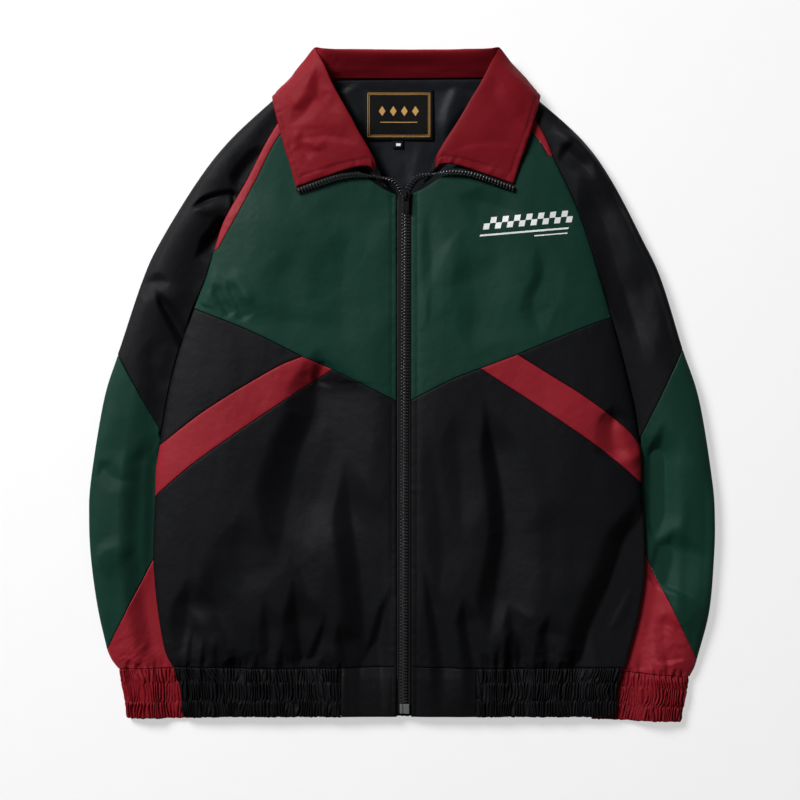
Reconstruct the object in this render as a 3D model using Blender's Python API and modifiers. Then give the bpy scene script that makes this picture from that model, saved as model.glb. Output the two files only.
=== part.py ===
"""Track jacket lying flat on its back: X to the right, Y towards the collar, +Z up.

The tables are in millimetres. The origin is on the surface, under the middle of the jacket.
Left and right are those seen from above. Every seam is one curve, sampled once, so the two
pieces that meet there share its points and keep half of the gap each.
"""

import math

import bmesh
import bpy
from mathutils import Vector
from mathutils.geometry import delaunay_2d_cdt

MM = 0.001
SIDES = ("L", "R")
SIGN = {"L": -1, "R": 1}
DOUBLED = 1e-6  # points nearer than this are one point

WALL = 1.5  # cloth with its lining or interlining
RIB_WALL = 1.8  # elastic band, doubled cloth
SEAM_GAP = 0.3
SEAM_STEP = 21.0  # spacing of the points along a seam
CLOTH_STEP = 24.0  # spacing of the points inside a front panel
FLAT_STEP = 38.0  # the same on the back, which is flat
LABEL_STEP = 12.0
GRID_SHARE = 0.6  # share of the step kept free along an outline
ROW_SHARE = 0.55  # the same around the points of a chosen row
ROW_REACH = 3.0  # nearest that such a point comes to the outline
STEEP_ROWS = (5.0, 18.0)  # rows of points this far inside a steep side edge

LAP_HEIGHT = 5.0  # sleeve or cuff pressed under the body's edge
LAP_LIFT = LAP_HEIGHT + 2 * SEAM_GAP  # the body's back where it lies on a sleeve
LAP_RAMP = 22.0
LAP_STEPS = (2.0, LAP_RAMP / 2, LAP_RAMP)  # points across that ramp, from the sleeve's inner fold
LAP_TOP_Y = -50.0  # underarm
LAP_FULL_Y = -84.0
BACK_LIFT_YS = (-120, -150, -180, -210, -240, -270, -300)  # rows of points across the same ramp
HEM_LIFT_YS = (-318, -346)
LEAF_LIFT = 3.0  # the back neck lies on the collar's leaf
LEAF_TOP_Y = 290.0
LEAF_END_Y = 235.0

EDGE_REACH = 95.0  # distance over which the front rises from its side edge
CREST_SHARE = 0.45  # share of a sleeve's width where it is highest
PRESSED_SHARE = 0.16  # share of its width that the body's edge presses down
FOLD_UNDER = 12.0  # width of the rounding below a sleeve's outer fold
LEAST_SLEEVE = 25.0  # least width of a sleeve that shows beside the body
HEM_BOTTOM_Y = -358.0
HEM_DROP = 1.0  # the band starts this much below its seam, at the sides
HEM_RISE = 0.8  # the band stands this much over the cloth above it

# Heights above the surface along the jacket: middle of the front, its side edge,
# crest of a sleeve and its outer fold.
HEIGHTS = (
    # y, front, edge, crest, fold
    (330, 16, 13, 13, 6),
    (260, 18, 15, 18, 8),
    (200, 21, 16, 20, 9),
    (90, 25, 15, 20, 10),
    (0, 27, 11, 18, 10),
    (-50, 27, 9, 17, 10),
    (-150, 26, 9, 17, 10),
    (-250, 22, 9, 16, 8),
    (-305, 15, 9, 13, 5),
    (-366, 13, 9, 12, 5),
)

ZIP_X = {"L": -5.7, "R": 9.7}  # the cloth's edges beside the zip
ZIP_TOP_Y = 205.0
ZIP_BOTTOM_Y = -356.0
CHAIN_TOP_X = 3.8
CHAIN_BOTTOM_X = 1.1
ZIP_DIP = 3.5  # the closed zip lies lower than the cloth beside it
ZIP_DIP_WIDTH = 22.0
TAPE_WALL = 1.0
TAPE_DROP = 0.8
TAPE_TURN = 6.0  # the straight tape ends this much below the zip's top

# Plan curves, each from the collar towards the hem or from the side towards the zip.
CURVES = {
    # outer folds of the sleeves
    "fold_L": ((-121, 323), (-140, 308), (-186, 265), (-220, 222), (-260, 157), (-280, 114), (-307, 33)),
    "fold_R": ((125, 326), (148, 308), (195, 265), (226, 222), (260, 157), (280, 114), (303, 39)),
    "elbow_L": (
        (-307, 33), (-322, -16), (-336, -102), (-338, -145), (-336, -188), (-329, -240), (-319, -286),
    ),
    "elbow_R": ((303, 39), (321, -16), (335, -102), (338, -145), (337, -188), (332, -245), (319, -297)),
    "wrist_L": ((-319, -286), (-314, -297), (-307, -306)),
    "wrist_R": ((319, -297), (316, -306), (311, -315)),
    "cuff_L": ((-306, -306), (-302, -329), (-297, -360)),
    "cuff_R": ((310, -315), (307, -335), (301, -364)),
    # raglan seams of the front, with the stripe between sleeve and yoke
    "raglan_L": ((-123, 300), (-145, 265), (-167, 222), (-191, 179), (-203, 145)),
    "raglan_R": ((125, 302), (144, 285), (156, 265), (163, 246)),
    "armhole_L": ((-203, 145), (-212, 114), (-225, 83)),
    "armhole_R": ((163, 246), (185, 200), (201, 157), (214, 114), (226, 73)),
    "underarm_L": ((-225, 83), (-240, 40), (-251, -1), (-260, -50)),
    "underarm_R": ((226, 73), (240, 23), (251, -24), (257, -58)),
    "stripe_in_L": ((-112, 291), (-135, 265), (-157, 222), (-180, 179), (-198, 147)),
    "stripe_in_R": ((114, 291), (135, 276), (148, 263), (158, 247)),
    # raglan seams of the back
    "back_raglan_L": (
        (-104, 325), (-126, 295), (-175, 211), (-212, 127), (-225, 83), (-251, -1), (-260, -50),
    ),
    "back_raglan_R": ((108, 327), (130, 298), (177, 211), (212, 127), (226, 73), (251, -24), (257, -58)),
    # neckline
    "neck_L": ((ZIP_X["L"], 205), (-24, 214), (-54, 237), (-80, 262), (-112, 291)),
    "neck_R": ((ZIP_X["R"], 206), (28, 215), (57, 236), (82, 259), (114, 291)),
    "neck_stripe_L": ((-112, 291), (-123, 300)),
    "neck_stripe_R": ((114, 291), (125, 302)),
    "neck_back": ((-104, 325), (-50, 327), (0, 327), (52, 328), (108, 327)),
    # side edges of the front, over the sleeves
    "side_wedge_L": ((-260, -50), (-262, -65)),
    "side_wedge_R": ((257, -58), (257.6, -65)),
    "side_stripe_L": ((-262, -65), (-266, -91), (-267, -120)),
    "side_stripe_R": ((257.6, -65), (259, -91), (259, -106)),
    "side_lower_L": ((-267, -120), (-269, -183), (-265, -235), (-257, -284), (-248, -304)),
    "side_lower_R": ((259, -106), (262, -167), (262, -204), (256, -244), (247, -280), (240, -305)),
    # seams between the front's colours
    "yoke_wedge_L": ((-225, 83), (-164, 59), (-107, 31)),
    "yoke_wedge_R": ((226, 73), (192, 61), (124, 33)),
    "yoke_stripe_L": ((-107, 31), (-75, 17)),
    "yoke_stripe_R": ((124, 33), (84, 18)),
    "yoke_lower_L": ((-75, 17), (-32, -4), (ZIP_X["L"], -17)),
    "yoke_lower_R": ((84, 18), (53, 6), (ZIP_X["R"], -16)),
    "stripe_top_L": ((-107, 31), (-139, 17), (-210, -26), (-262, -65)),
    "stripe_top_R": ((124, 33), (156, 13), (199, -14), (240, -45), (257.6, -65)),
    "stripe_low_L": ((-75, 17), (-141, -26), (-205, -70), (-233, -91), (-267, -120)),
    "stripe_low_R": ((84, 18), (152, -26), (216, -70), (259, -106)),
    # hem band
    "hem_seam_L": ((-248, -304), (-155, -306), (-66, -306)),
    "hem_seam_R": ((240, -305), (160, -306), (80, -306)),
    "hem_plain_seam_L": ((-66, -306), (ZIP_X["L"], -304)),
    "hem_plain_seam_R": ((80, -306), (ZIP_X["R"], -304)),
    "hem_joint_L": ((-66, -306), (-66, HEM_BOTTOM_Y)),
    "hem_joint_R": ((80, -306), (80, HEM_BOTTOM_Y)),
    "hem_side_L": ((-246, -307), (-240, -328), (-237, HEM_BOTTOM_Y)),
    "hem_side_R": ((237, -308), (232, -335), (231, HEM_BOTTOM_Y)),
    # inner folds of the sleeves, under the body
    "inner_L": ((-260, -50), (-266, -66), (-267.5, -84), (-255, -108), (-238, -127)),
    "inner_R": ((257, -58), (261, -70), (262, -86), (252, -104), (236, -127)),
    "inner_low_L": ((-238, -127), (-216, -180), (-207, -242), (-212, -306)),
    "inner_low_R": ((236, -127), (216, -180), (206, -242), (214, -308)),
    "cuff_inner_L": ((-213, -306), (-217, -360)),
    "cuff_inner_R": ((213, -308), (205, -361)),
}

# Collar, left half, from its zipped end round to the middle of the back. Across the band:
# neck seam, middle of the stand, roll, two points of the leaf and the leaf's edge.
COLLAR = (
    # seam, stand, roll, leaf 1, leaf 2, edge
    ((-14, 212, 17), (-27, 225, 19), (-34, 234, 26), (-53, 233, 26), (-82, 224, 24.5), (-114, 213, 22.5)),
    ((-23, 219, 16), (-27, 236, 21), (-38, 254, 29), (-62, 250, 28.5), (-92, 243, 26), (-120, 235, 22.5)),
    ((-49, 243, 16), (-48, 262, 21), (-52, 281, 30), (-74, 274, 30), (-100, 266, 27), (-127, 257, 22.5)),
    ((-75, 269, 16), (-66, 283, 21), (-63, 302, 30), (-84, 297, 30), (-108, 289, 27.5), (-133, 280, 22)),
    ((-98, 290, 16), (-82, 304, 21), (-74, 322, 30), (-93, 318, 30), (-115, 308, 27.5), (-138, 298, 20)),
    ((-111, 304, 15), (-94, 324, 20), (-84, 344, 29), (-99, 338, 28), (-117, 325, 25), (-140, 308, 16)),
    ((-111, 322, 13), (-98, 340, 17), (-93, 362, 22), (-108, 347, 15), (-124, 331, 11), (-140, 312, 8)),
    ((-99, 331, 9), (-88, 344, 16), (-83, 361, 26), (-96, 354, 8), (-112, 336, 4.0), (-130, 309, 1.3)),
    ((-76, 332, 8), (-63, 343, 16), (-57, 359, 26), (-58, 361, 13), (-62, 355, 4.2), (-70, 309, 1.3)),
    ((0, 332, 8), (0, 343, 16), (0, 358, 26), (0, 361, 13), (0, 355, 4.2), (0, 309, 1.3)),
)
COLLAR_MIDDLE_X = 3.0  # the right half is the left one, mirrored and a little wider at the peak
COLLAR_LEAN = 2.5
COLLAR_RAISE = 3.5
COLLAR_FOOT_Y = 213.0
COLLAR_TALL = 150.0
COLLAR_ROWS = 2  # rows between two sections

# Zip tape at the collar's edge, left: the chain's side and the cloth's side.
COLLAR_TAPE = (
    # chain, cloth
    ((1.5, 206, 17.5), (-4.0, 204, 17.5)),
    ((-3, 214, 19), (-7.5, 211, 18.5)),
    ((-10.5, 221, 21), (-13.5, 217.3, 20.5)),
    ((-23, 223.5, 21.5), (-26.5, 222.5, 21.5)),
    ((-44, 225, 23.3), (-46, 228.3, 24)),
    ((-66, 223, 24), (-67, 226.7, 24.5)),
    ((-91, 215, 23.2), (-92, 219.3, 23.6)),
    ((-113, 207, 22.3), (-114, 211.3, 22.6)),
)

SLIDER_TOP_Y = 211.0
SLIDER_LENGTH = 15.0
SLIDER_WIDTH = 9.6
SLIDER_PLATE = 1.3
SLIDER_CHANNEL = 2.5  # room for the chain under the plate
SLIDER_CHANNEL_WIDTH = 5.6
SLIDER_SEAT = 1.6  # the tapes rise under the slider towards the collar
SLIDER_HALF = (
    # across (share of half the width), along from the middle
    (0.0, 7.5),
    (0.7, 7.0),
    (1.0, 5.1),
    (1.0, 1.0),
    (0.77, -3.0),
    (0.77, -6.7),
    (0.6, -7.5),
)
CUT_SPARE = 2.0  # a cutter reaches this much past what it cuts
BRIDGE_WIRE = 0.9  # radius of the bridge
BRIDGE_ROOT = 0.9  # its ends reach this deep into the plate
BRIDGE_SQUARE = 0.6  # below 1, the arch is squarer
BRIDGE_BENDS = 10
BRIDGE_HEIGHT = 4.4
BRIDGE_LENGTH = 8.4
TAB_LENGTH = 17.0
TAB_WIDTH = 6.6
TAB_THICK = 1.4
TAB_EYE_LENGTH = 5.2
TAB_EYE_WIDTH = 3.4
TAB_BAR = 1.5  # bar between the eye and the tab's end
TAB_GAP = 0.5
TAB_BEVEL = 0.35

BOX_WIDTH = 6.4
BOX_LENGTH = 10.0
BOX_THICK = 4.0
BOX_FOOT = 2.0  # above the tapes' lower ends
PIN_WIDTH = 3.2
PIN_THICK = 2.8
BOX_BEVEL = 0.6

LABEL_WALL = 0.8
LINING_WALL = 1.2
LABEL_BOX = (-41, 34, 265, 320)  # left, right, bottom, top
SIZE_TAB_BOX = (-10, 2, 256, 265)
LINING_CORNERS = ((-104, 325), (108, 327), (125, 270), (100, 190), (0, 165), (-96, 190), (-120, 270))

COLOURS = {
    # red, green, blue, roughness
    "black_cloth": (0.008, 0.008, 0.011, 0.55),
    "green_cloth": (0.010, 0.042, 0.026, 0.5),
    "red_cloth": (0.190, 0.012, 0.020, 0.45),
    "lining_cloth": (0.012, 0.014, 0.020, 0.45),
    "label_cloth": (0.006, 0.006, 0.007, 0.6),
    "zip_tape": (0.010, 0.010, 0.012, 0.7),
    "black_metal": (0.020, 0.020, 0.022, 0.35),
    "grey_plastic": (0.350, 0.350, 0.360, 0.4),
}
METALS = ("black_metal",)


# ---------- curves ----------


def spline_point(before, start, end, after, share):
    """A point of the Catmull-Rom curve from start to end."""
    tangent_in = (end - before) * 0.5
    tangent_out = (after - start) * 0.5
    square, cube = share**2, share**3
    return (
        start * (2 * cube - 3 * square + 1)
        + tangent_in * (cube - 2 * square + share)
        + end * (3 * square - 2 * cube)
        + tangent_out * (cube - square)
    )


def smooth_curve(points, per_span=12):
    """A smooth curve through the points, per_span steps from each to the next."""
    knots = [Vector(point) for point in points]
    knots = [2 * knots[0] - knots[1], *knots, 2 * knots[-1] - knots[-2]]
    curve = [
        spline_point(*knots[index : index + 4], step / per_span)
        for index in range(len(points) - 1)
        for step in range(per_span)
    ]
    return [*curve, knots[-2]]


def resample(curve, count):
    """count points, evenly spaced along a curve given as close points."""
    lengths = [0.0]
    for start, end in zip(curve, curve[1:]):
        lengths.append(lengths[-1] + (end - start).length)
    found = []
    index = 0
    for step in range(count):
        target = lengths[-1] * step / (count - 1)
        while index < len(curve) - 2 and lengths[index + 1] < target:
            index += 1
        span = lengths[index + 1] - lengths[index]
        found.append(curve[index].lerp(curve[index + 1], (target - lengths[index]) / span))
    return found


def seam(name, step=SEAM_STEP):
    """The shared points of a named curve."""
    curve = smooth_curve(CURVES[name])
    length = sum((end - start).length for start, end in zip(curve, curve[1:]))
    return resample(curve, max(2, round(length / step) + 1))


def joined(*curves):
    """Curves that follow one another, without doubled points."""
    points = []
    for curve in curves:
        skip = 1 if points and (points[-1] - curve[0]).length < DOUBLED else 0
        points.extend(curve[skip:])
    return points


def x_along(names):
    """The x of a chain of curves as a function of y, which falls along them."""
    points = joined(*(smooth_curve(CURVES[name]) for name in names))

    def at(y):
        if y >= points[0].y:
            return points[0].x
        for upper, lower in zip(points, points[1:]):
            if lower.y <= y <= upper.y and upper.y > lower.y:
                return lower.x + (upper.x - lower.x) * (y - lower.y) / (upper.y - lower.y)
        return points[-1].x

    return at


def on_both_sides(names):
    return {side: x_along([f"{name}_{side}" for name in names]) for side in SIDES}


EDGE_NAMES = ("raglan", "armhole", "underarm", "side_wedge", "side_stripe", "side_lower", "hem_side")
EDGE_X = on_both_sides(EDGE_NAMES)
FOLD_X = on_both_sides(("fold", "elbow", "wrist", "cuff"))
INNER_X = on_both_sides(("inner", "inner_low", "cuff_inner"))


# ---------- heights ----------


def ramp(value, start, end):
    """0 at start, 1 at end, smooth between them."""
    share = min(max((value - start) / (end - start), 0.0), 1.0)
    return share * share * (3 - 2 * share)


def rounded(distance, reach):
    """A quarter of an ellipse: 0 at an edge, 1 from reach on."""
    left = 1 - min(max(distance / reach, 0.0), 1.0)
    return math.sqrt(1 - left * left)


def height(column, y):
    """One column of HEIGHTS at y: front, edge, crest or fold."""
    index = ("front", "edge", "crest", "fold").index(column) + 1
    if y >= HEIGHTS[0][0]:
        return HEIGHTS[0][index]
    for upper, lower in zip(HEIGHTS, HEIGHTS[1:]):
        if y >= lower[0]:
            return lower[index] + (upper[index] - lower[index]) * (y - lower[0]) / (upper[0] - lower[0])
    return HEIGHTS[-1][index]


def side_of(x):
    return "L" if x < 0 else "R"


def underside(x, y):
    """Underside of the back: flat, but raised over the sleeves and over the collar's leaf."""
    inner = abs(INNER_X[side_of(x)](y))
    outwards = ramp(abs(x), inner - LAP_STEPS[-1], inner - LAP_STEPS[0])
    below_underarm = ramp(-y, -LAP_TOP_Y, -LAP_FULL_Y)
    over_leaf = ramp(y, LEAF_END_Y, LEAF_TOP_Y)
    return LAP_LIFT * outwards * below_underarm + LEAF_LIFT * over_leaf


def front_top(x, y):
    """Upper face of the front panels."""
    edge = height("edge", y)
    middle = height("front", y)
    inside = abs(EDGE_X[side_of(x)](y)) - abs(x)
    dip = ZIP_DIP * math.exp(-((x - CHAIN_TOP_X) ** 2) / ZIP_DIP_WIDTH**2)
    return edge + (middle - edge) * rounded(inside, EDGE_REACH) - dip


def hem_top(x, y):
    return front_top(x, y) + HEM_RISE


def back_top(x, y):
    return underside(x, y) + WALL


def hem_back_top(x, y):
    return underside(x, y) + RIB_WALL


def sleeve_top(side, x, y):
    """Upper face of a sleeve: rounded at its fold, highest at the crest, low at the body's edge."""
    fold = height("fold", y)
    width = max(abs(EDGE_X[side](y) - FOLD_X[side](y)), LEAST_SLEEVE)
    share = abs(x - FOLD_X[side](y)) / width
    crest = fold + (height("crest", y) - fold) * rounded(share, CREST_SHARE)
    pressed = ramp(-y, -LAP_TOP_Y, -LAP_FULL_Y)
    low = height("edge", y) * (1 - pressed) + LAP_HEIGHT * pressed
    return crest + (low - crest) * ramp(share, CREST_SHARE, 1.0 - PRESSED_SHARE * pressed)


def sleeve_bottom(side, x, y):
    """Lower face of a sleeve: flat, but rounded up to its outer fold."""
    under_fold = 1 - rounded(abs(x - FOLD_X[side](y)), FOLD_UNDER)
    over_leaf = LEAF_LIFT * ramp(y, LEAF_END_Y, LEAF_TOP_Y)
    return over_leaf + (height("fold", y) - over_leaf) * under_fold


# ---------- solids ----------


def material(name):
    found = bpy.data.materials.get(name)
    if found:
        return found
    found = bpy.data.materials.new(name)
    found.use_nodes = True
    shader = found.node_tree.nodes["Principled BSDF"]
    red, green, blue, roughness = COLOURS[name]
    shader.inputs["Base Color"].default_value = (red, green, blue, 1)
    shader.inputs["Roughness"].default_value = roughness
    shader.inputs["Metallic"].default_value = 1.0 if name in METALS else 0.0
    found.diffuse_color = (red, green, blue, 1)
    return found


def add_object(name, mesh, material_name, parent=None):
    mesh.materials.append(material(material_name))
    made = bpy.data.objects.new(name, mesh)
    bpy.data.collections["track_jacket"].objects.link(made)
    made.parent = parent
    return made


def mesh_from(name, bm):
    """A mesh in metres from a bmesh in millimetres, with its faces turned outwards."""
    bmesh.ops.recalc_face_normals(bm, faces=bm.faces)
    bmesh.ops.scale(bm, vec=(MM, MM, MM), verts=bm.verts)
    mesh = bpy.data.meshes.new(name)
    bm.to_mesh(mesh)
    bm.free()
    mesh.shade_smooth()
    return mesh


def inset(outline, distance):
    """The closed outline, counter-clockwise, moved inwards by a distance."""
    moved = []
    count = len(outline)
    for index, point in enumerate(outline):
        before = (point - outline[index - 1]).normalized()
        after = (outline[(index + 1) % count] - point).normalized()
        normal = (Vector((-before.y, before.x)) + Vector((-after.y, after.x))).normalized()
        cosine = max(normal.dot(Vector((-before.y, before.x))), 0.35)
        moved.append(point + normal * (distance / cosine))
    return moved


def area_of(outline):
    following = [*outline[1:], outline[0]]
    return sum(a.x * b.y - b.x * a.y for a, b in zip(outline, following)) / 2


def nearest(point, outline):
    """Distance from a point to a closed outline, negative outside it."""
    best = math.inf
    inside = False
    for start, end in zip(outline, [*outline[1:], outline[0]]):
        along = end - start
        share = min(max((point - start).dot(along) / along.length_squared, 0.0), 1.0)
        best = min(best, (point - start - along * share).length)
        if (start.y > point.y) != (end.y > point.y):
            if point.x < start.x + along.x * (point.y - start.y) / along.y:
                inside = not inside
    return best if inside else -best


def grid_inside(outline, step):
    """Points of a staggered grid, kept off the outline."""
    row_height = step * math.sqrt(3) / 2
    low_x = min(point.x for point in outline)
    high_x = max(point.x for point in outline)
    low_y = min(point.y for point in outline)
    high_y = max(point.y for point in outline)
    points = []
    for row in range(int((high_y - low_y) / row_height) + 1):
        for column in range(int((high_x - low_x) / step) + 2):
            point = Vector((low_x + (column - 0.5 * (row % 2)) * step, low_y + row * row_height))
            if nearest(point, outline) > GRID_SHARE * step:
                points.append(point)
    return points


def sheet(name, outline, top, material_name, wall=WALL, step=CLOTH_STEP, rows=()):
    """A cloth panel: its outline filled with triangles on the upper face and let down by a wall.

    rows holds further points, such as those close to a steep side edge.
    """
    outline = joined(*outline)
    if (outline[0] - outline[-1]).length < DOUBLED:
        outline = outline[:-1]
    if area_of(outline) < 0:
        outline = outline[::-1]
    outline = inset(outline, SEAM_GAP / 2)
    extra = [point for point in rows if nearest(point, outline) > ROW_REACH]
    grid = [
        point
        for point in grid_inside(outline, step)
        if all((point - other).length > ROW_SHARE * step for other in extra)
    ]
    ring = [(index, (index + 1) % len(outline)) for index in range(len(outline))]
    points, _, faces, *_ = delaunay_2d_cdt([*outline, *extra, *grid], ring, [], 1, 1e-4)
    bm = bmesh.new()
    verts = [bm.verts.new((point.x, point.y, top(point.x, point.y))) for point in points]
    for face in faces:
        bm.faces.new([verts[index] for index in face])
    loose = [vert for vert in bm.verts if not vert.link_faces]
    bmesh.ops.delete(bm, geom=loose, context="VERTS")
    made = bmesh.ops.extrude_face_region(bm, geom=bm.faces[:])
    lowered = [item for item in made["geom"] if isinstance(item, bmesh.types.BMVert)]
    bmesh.ops.translate(bm, vec=(0, 0, -wall), verts=lowered)
    return add_object(name, mesh_from(name, bm), material_name)


def loft(name, outer_rows, inner_rows, closed, material_name):
    """A wall between two nets of points: its rows are rings if closed, else strips."""
    bm = bmesh.new()
    nets = [[[bm.verts.new(point) for point in row] for row in net] for net in (outer_rows, inner_rows)]
    count = len(outer_rows[0])
    spans = range(count if closed else count - 1)
    for net in nets:
        for row, following in zip(net, net[1:]):
            for index in spans:
                after = (index + 1) % count
                bm.faces.new((row[index], row[after], following[after], following[index]))
    outer, inner = nets
    for end in (0, -1):
        for index in spans:
            after = (index + 1) % count
            bm.faces.new((outer[end][index], outer[end][after], inner[end][after], inner[end][index]))
    if not closed:
        for side in (0, -1):
            edges = [(outer[row][side], inner[row][side]) for row in range(len(outer))]
            for start, end in zip(edges, edges[1:]):
                bm.faces.new((start[0], end[0], end[1], start[1]))
    return add_object(name, mesh_from(name, bm), material_name)


# ---------- sleeves ----------

FRONT_SHARES = (1, 0.82, 0.64, 0.47, 0.32, 0.2, 0.1, 0.03)
BACK_SHARES = (0.03, 0.1, 0.4, 1)
FOLD_ARC = ((1.0, 1.0), (0.3, 0.85), (0.0, 0.5), (0.3, 0.15), (1.0, 0.0))  # inner fold: inwards, up


def wall_inside(profile, wall, closed):
    """The profile, points (across, up), moved inwards by a wall; open ends move straight up or down."""
    count = len(profile)
    moved = []
    for index, point in enumerate(profile):
        if not closed and index in (0, count - 1):
            moved.append(point + Vector((0, -wall if index == 0 else wall)))
            continue
        along = (profile[(index + 1) % count] - profile[index - 1]).normalized()
        moved.append(point + Vector((-along.y, along.x)) * wall)
    return moved


def sleeve_row(side, fold, front, back, wall, closed):
    """One section of a sleeve, outer and inner, from its front seam or inner fold round the outer fold."""
    lines = (front - fold, back - fold)
    shares = [(0, share) for share in FRONT_SHARES] + [(0, 0.0)] + [(1, share) for share in BACK_SHARES]
    if closed:
        shares = shares[1:-1]
    profile = []
    for face, share in shares:
        point = fold + lines[face] * share
        if share == 0:
            up = height("fold", fold.y)
        else:
            up = (sleeve_bottom if face else sleeve_top)(side, point.x, point.y)
        profile.append(Vector((lines[face].length * share, up)))
    if closed:
        low = sleeve_bottom(side, front.x, front.y)
        high = sleeve_top(side, front.x, front.y)
        reach = (high - low) / 2
        depth = high - low
        arc = [Vector((lines[0].length - inwards * reach, low + up * depth)) for inwards, up in FOLD_ARC]
        profile = [*arc[:3][::-1], *profile, *arc[3:][::-1]]
        shares = [(0, None)] * 3 + shares + [(1, None)] * 2
    inner = wall_inside(profile, wall, closed)
    return [
        [
            (*(fold + lines[face].normalized() * point.x), point.y)
            for (face, _), point in zip(shares, points)
        ]
        for points in (profile, inner)
    ]


def sleeve_piece(name, side, folds, fronts, backs, wall, closed, material_name):
    """A stretch of sleeve through its rows, shortened by half a seam gap at both ends."""
    rows = list(zip(folds, fronts, backs))
    rows[0] = moved_row(rows[0], rows[1])
    rows[-1] = moved_row(rows[-1], rows[-2])
    outer_rows, inner_rows = [], []
    for fold, front, back in rows:
        outer, inner = sleeve_row(side, fold, front, back, wall, closed)
        outer_rows.append(outer)
        inner_rows.append(inner)
    return loft(name, outer_rows, inner_rows, closed, material_name)


def moved_row(row, towards):
    """The row moved square to itself by half a seam gap, towards the next row."""
    line = (row[1] - row[0]).normalized()
    square = Vector((-line.y, line.x))
    if square.dot(towards[0] + towards[1] - row[0] - row[1]) < 0:
        square.negate()
    return [point + square * (SEAM_GAP / 2) for point in row]


def moved_in(points, side, distance):
    """Seam points moved away from the body, towards the sleeve."""
    return [point + Vector((SIGN[side] * distance, 0)) for point in points]


def build_sleeve(side):
    front_seam = joined(*(seam(f"{name}_{side}") for name in ("raglan", "armhole", "underarm")))
    count = len(front_seam)
    back_seam = resample(smooth_curve(CURVES[f"back_raglan_{side}"]), count)
    folds = resample(smooth_curve(CURVES[f"fold_{side}"]), count)
    sleeve_piece(
        f"sleeve_upper_{side}",
        side,
        folds,
        moved_in(front_seam, side, SEAM_GAP),
        moved_in(back_seam, side, SEAM_GAP),
        WALL,
        False,
        "black_cloth",
    )
    stretches = (
        # name, outer fold, inner fold, rows, wall, material
        ("sleeve_middle", "elbow", "inner", 10, WALL, "green_cloth"),
        ("sleeve_lower", "wrist", "inner_low", 7, WALL, "red_cloth"),
        ("cuff", "cuff", "cuff_inner", 3, RIB_WALL, "red_cloth"),
    )
    for name, outer, inner, rows, wall, colour in stretches:
        folds = resample(smooth_curve(CURVES[f"{outer}_{side}"]), rows)
        inners = resample(smooth_curve(CURVES[f"{inner}_{side}"]), rows)
        sleeve_piece(f"{name}_{side}", side, folds, inners, inners, wall, True, colour)


# ---------- body ----------


def near_side(names, side):
    """Points just inside a side edge, where the front is steep."""
    inwards = Vector((-SIGN[side], 0))
    curve = joined(*(seam(f"{name}_{side}") for name in names))
    return [point + inwards * distance for distance in STEEP_ROWS for point in curve]


def build_front(side):
    zip_foot = (ZIP_X[side], HEM_BOTTOM_Y)
    yoke_end = CURVES[f"yoke_lower_{side}"][-1]
    neck_end = CURVES[f"neck_{side}"][0]
    hem_end = CURVES[f"hem_plain_seam_{side}"][-1]
    upper_zip = straight(yoke_end, neck_end)
    lower_zip = straight(hem_end, yoke_end)

    def curve(name):
        return seam(f"{name}_{side}")

    sheet(
        f"front_yoke_{side}",
        (
            curve("neck"),
            curve("stripe_in"),
            [curve("stripe_in")[-1], curve("raglan")[-1]],
            curve("armhole"),
            curve("yoke_wedge"),
            curve("yoke_stripe"),
            curve("yoke_lower"),
            upper_zip,
        ),
        front_top,
        "green_cloth",
    )
    sheet(
        f"raglan_stripe_{side}",
        (curve("raglan"), curve("stripe_in")[::-1], curve("neck_stripe")),
        front_top,
        "red_cloth",
    )
    sheet(
        f"front_side_{side}",
        (curve("underarm"), curve("side_wedge"), curve("stripe_top")[::-1], curve("yoke_wedge")[::-1]),
        front_top,
        "black_cloth",
        rows=near_side(("underarm",), side),
    )
    sheet(
        f"front_stripe_{side}",
        (curve("stripe_top"), curve("side_stripe"), curve("stripe_low")[::-1], curve("yoke_stripe")[::-1]),
        front_top,
        "red_cloth",
        rows=near_side(("side_stripe",), side),
    )
    sheet(
        f"front_lower_{side}",
        (
            curve("stripe_low"),
            curve("side_lower"),
            curve("hem_seam"),
            curve("hem_plain_seam"),
            lower_zip,
            curve("yoke_lower")[::-1],
        ),
        front_top,
        "black_cloth",
        rows=near_side(("side_lower",), side),
    )
    joint = curve("hem_joint")
    sheet(
        f"hem_plain_{side}",
        (
            curve("hem_plain_seam"),
            straight(hem_end, zip_foot),
            straight(zip_foot, joint[-1]),
            joint[::-1],
        ),
        hem_top,
        "black_cloth",
        wall=RIB_WALL,
    )
    sheet(
        f"hem_elastic_{side}",
        (
            [point + Vector((0, -SEAM_GAP)) for point in curve("hem_seam")[1:-1]],
            joint,
            straight(joint[-1], CURVES[f"hem_side_{side}"][-1]),
            curve("hem_side")[::-1],
        ),
        hem_top,
        "black_cloth",
        wall=RIB_WALL,
        rows=near_side(("hem_side",), side),
    )


def straight(start, end, step=SEAM_STEP):
    start, end = Vector(start), Vector(end)
    count = max(1, round((end - start).length / step))
    return [start.lerp(end, index / count) for index in range(count + 1)]


def lift_points(side, y):
    """Points across the stretch where the back rises over a sleeve, from the sleeve's inner fold."""
    inner = abs(INNER_X[side](y))
    return [Vector((SIGN[side] * (inner - inwards), y)) for inwards in LAP_STEPS]


def lift_rows(heights):
    return [point for side in SIDES for y in heights for point in lift_points(side, y)]


def across_back(left, right):
    """A straight line across the back, with points where the back rises over the sleeves."""
    rise_left, rise_right = (lift_points(side, left.y) for side in SIDES)
    flat = straight(rise_left[-1], rise_right[-1], FLAT_STEP)
    return [left, *rise_left[:-1], *flat, *rise_right[-2::-1], right]


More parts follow.
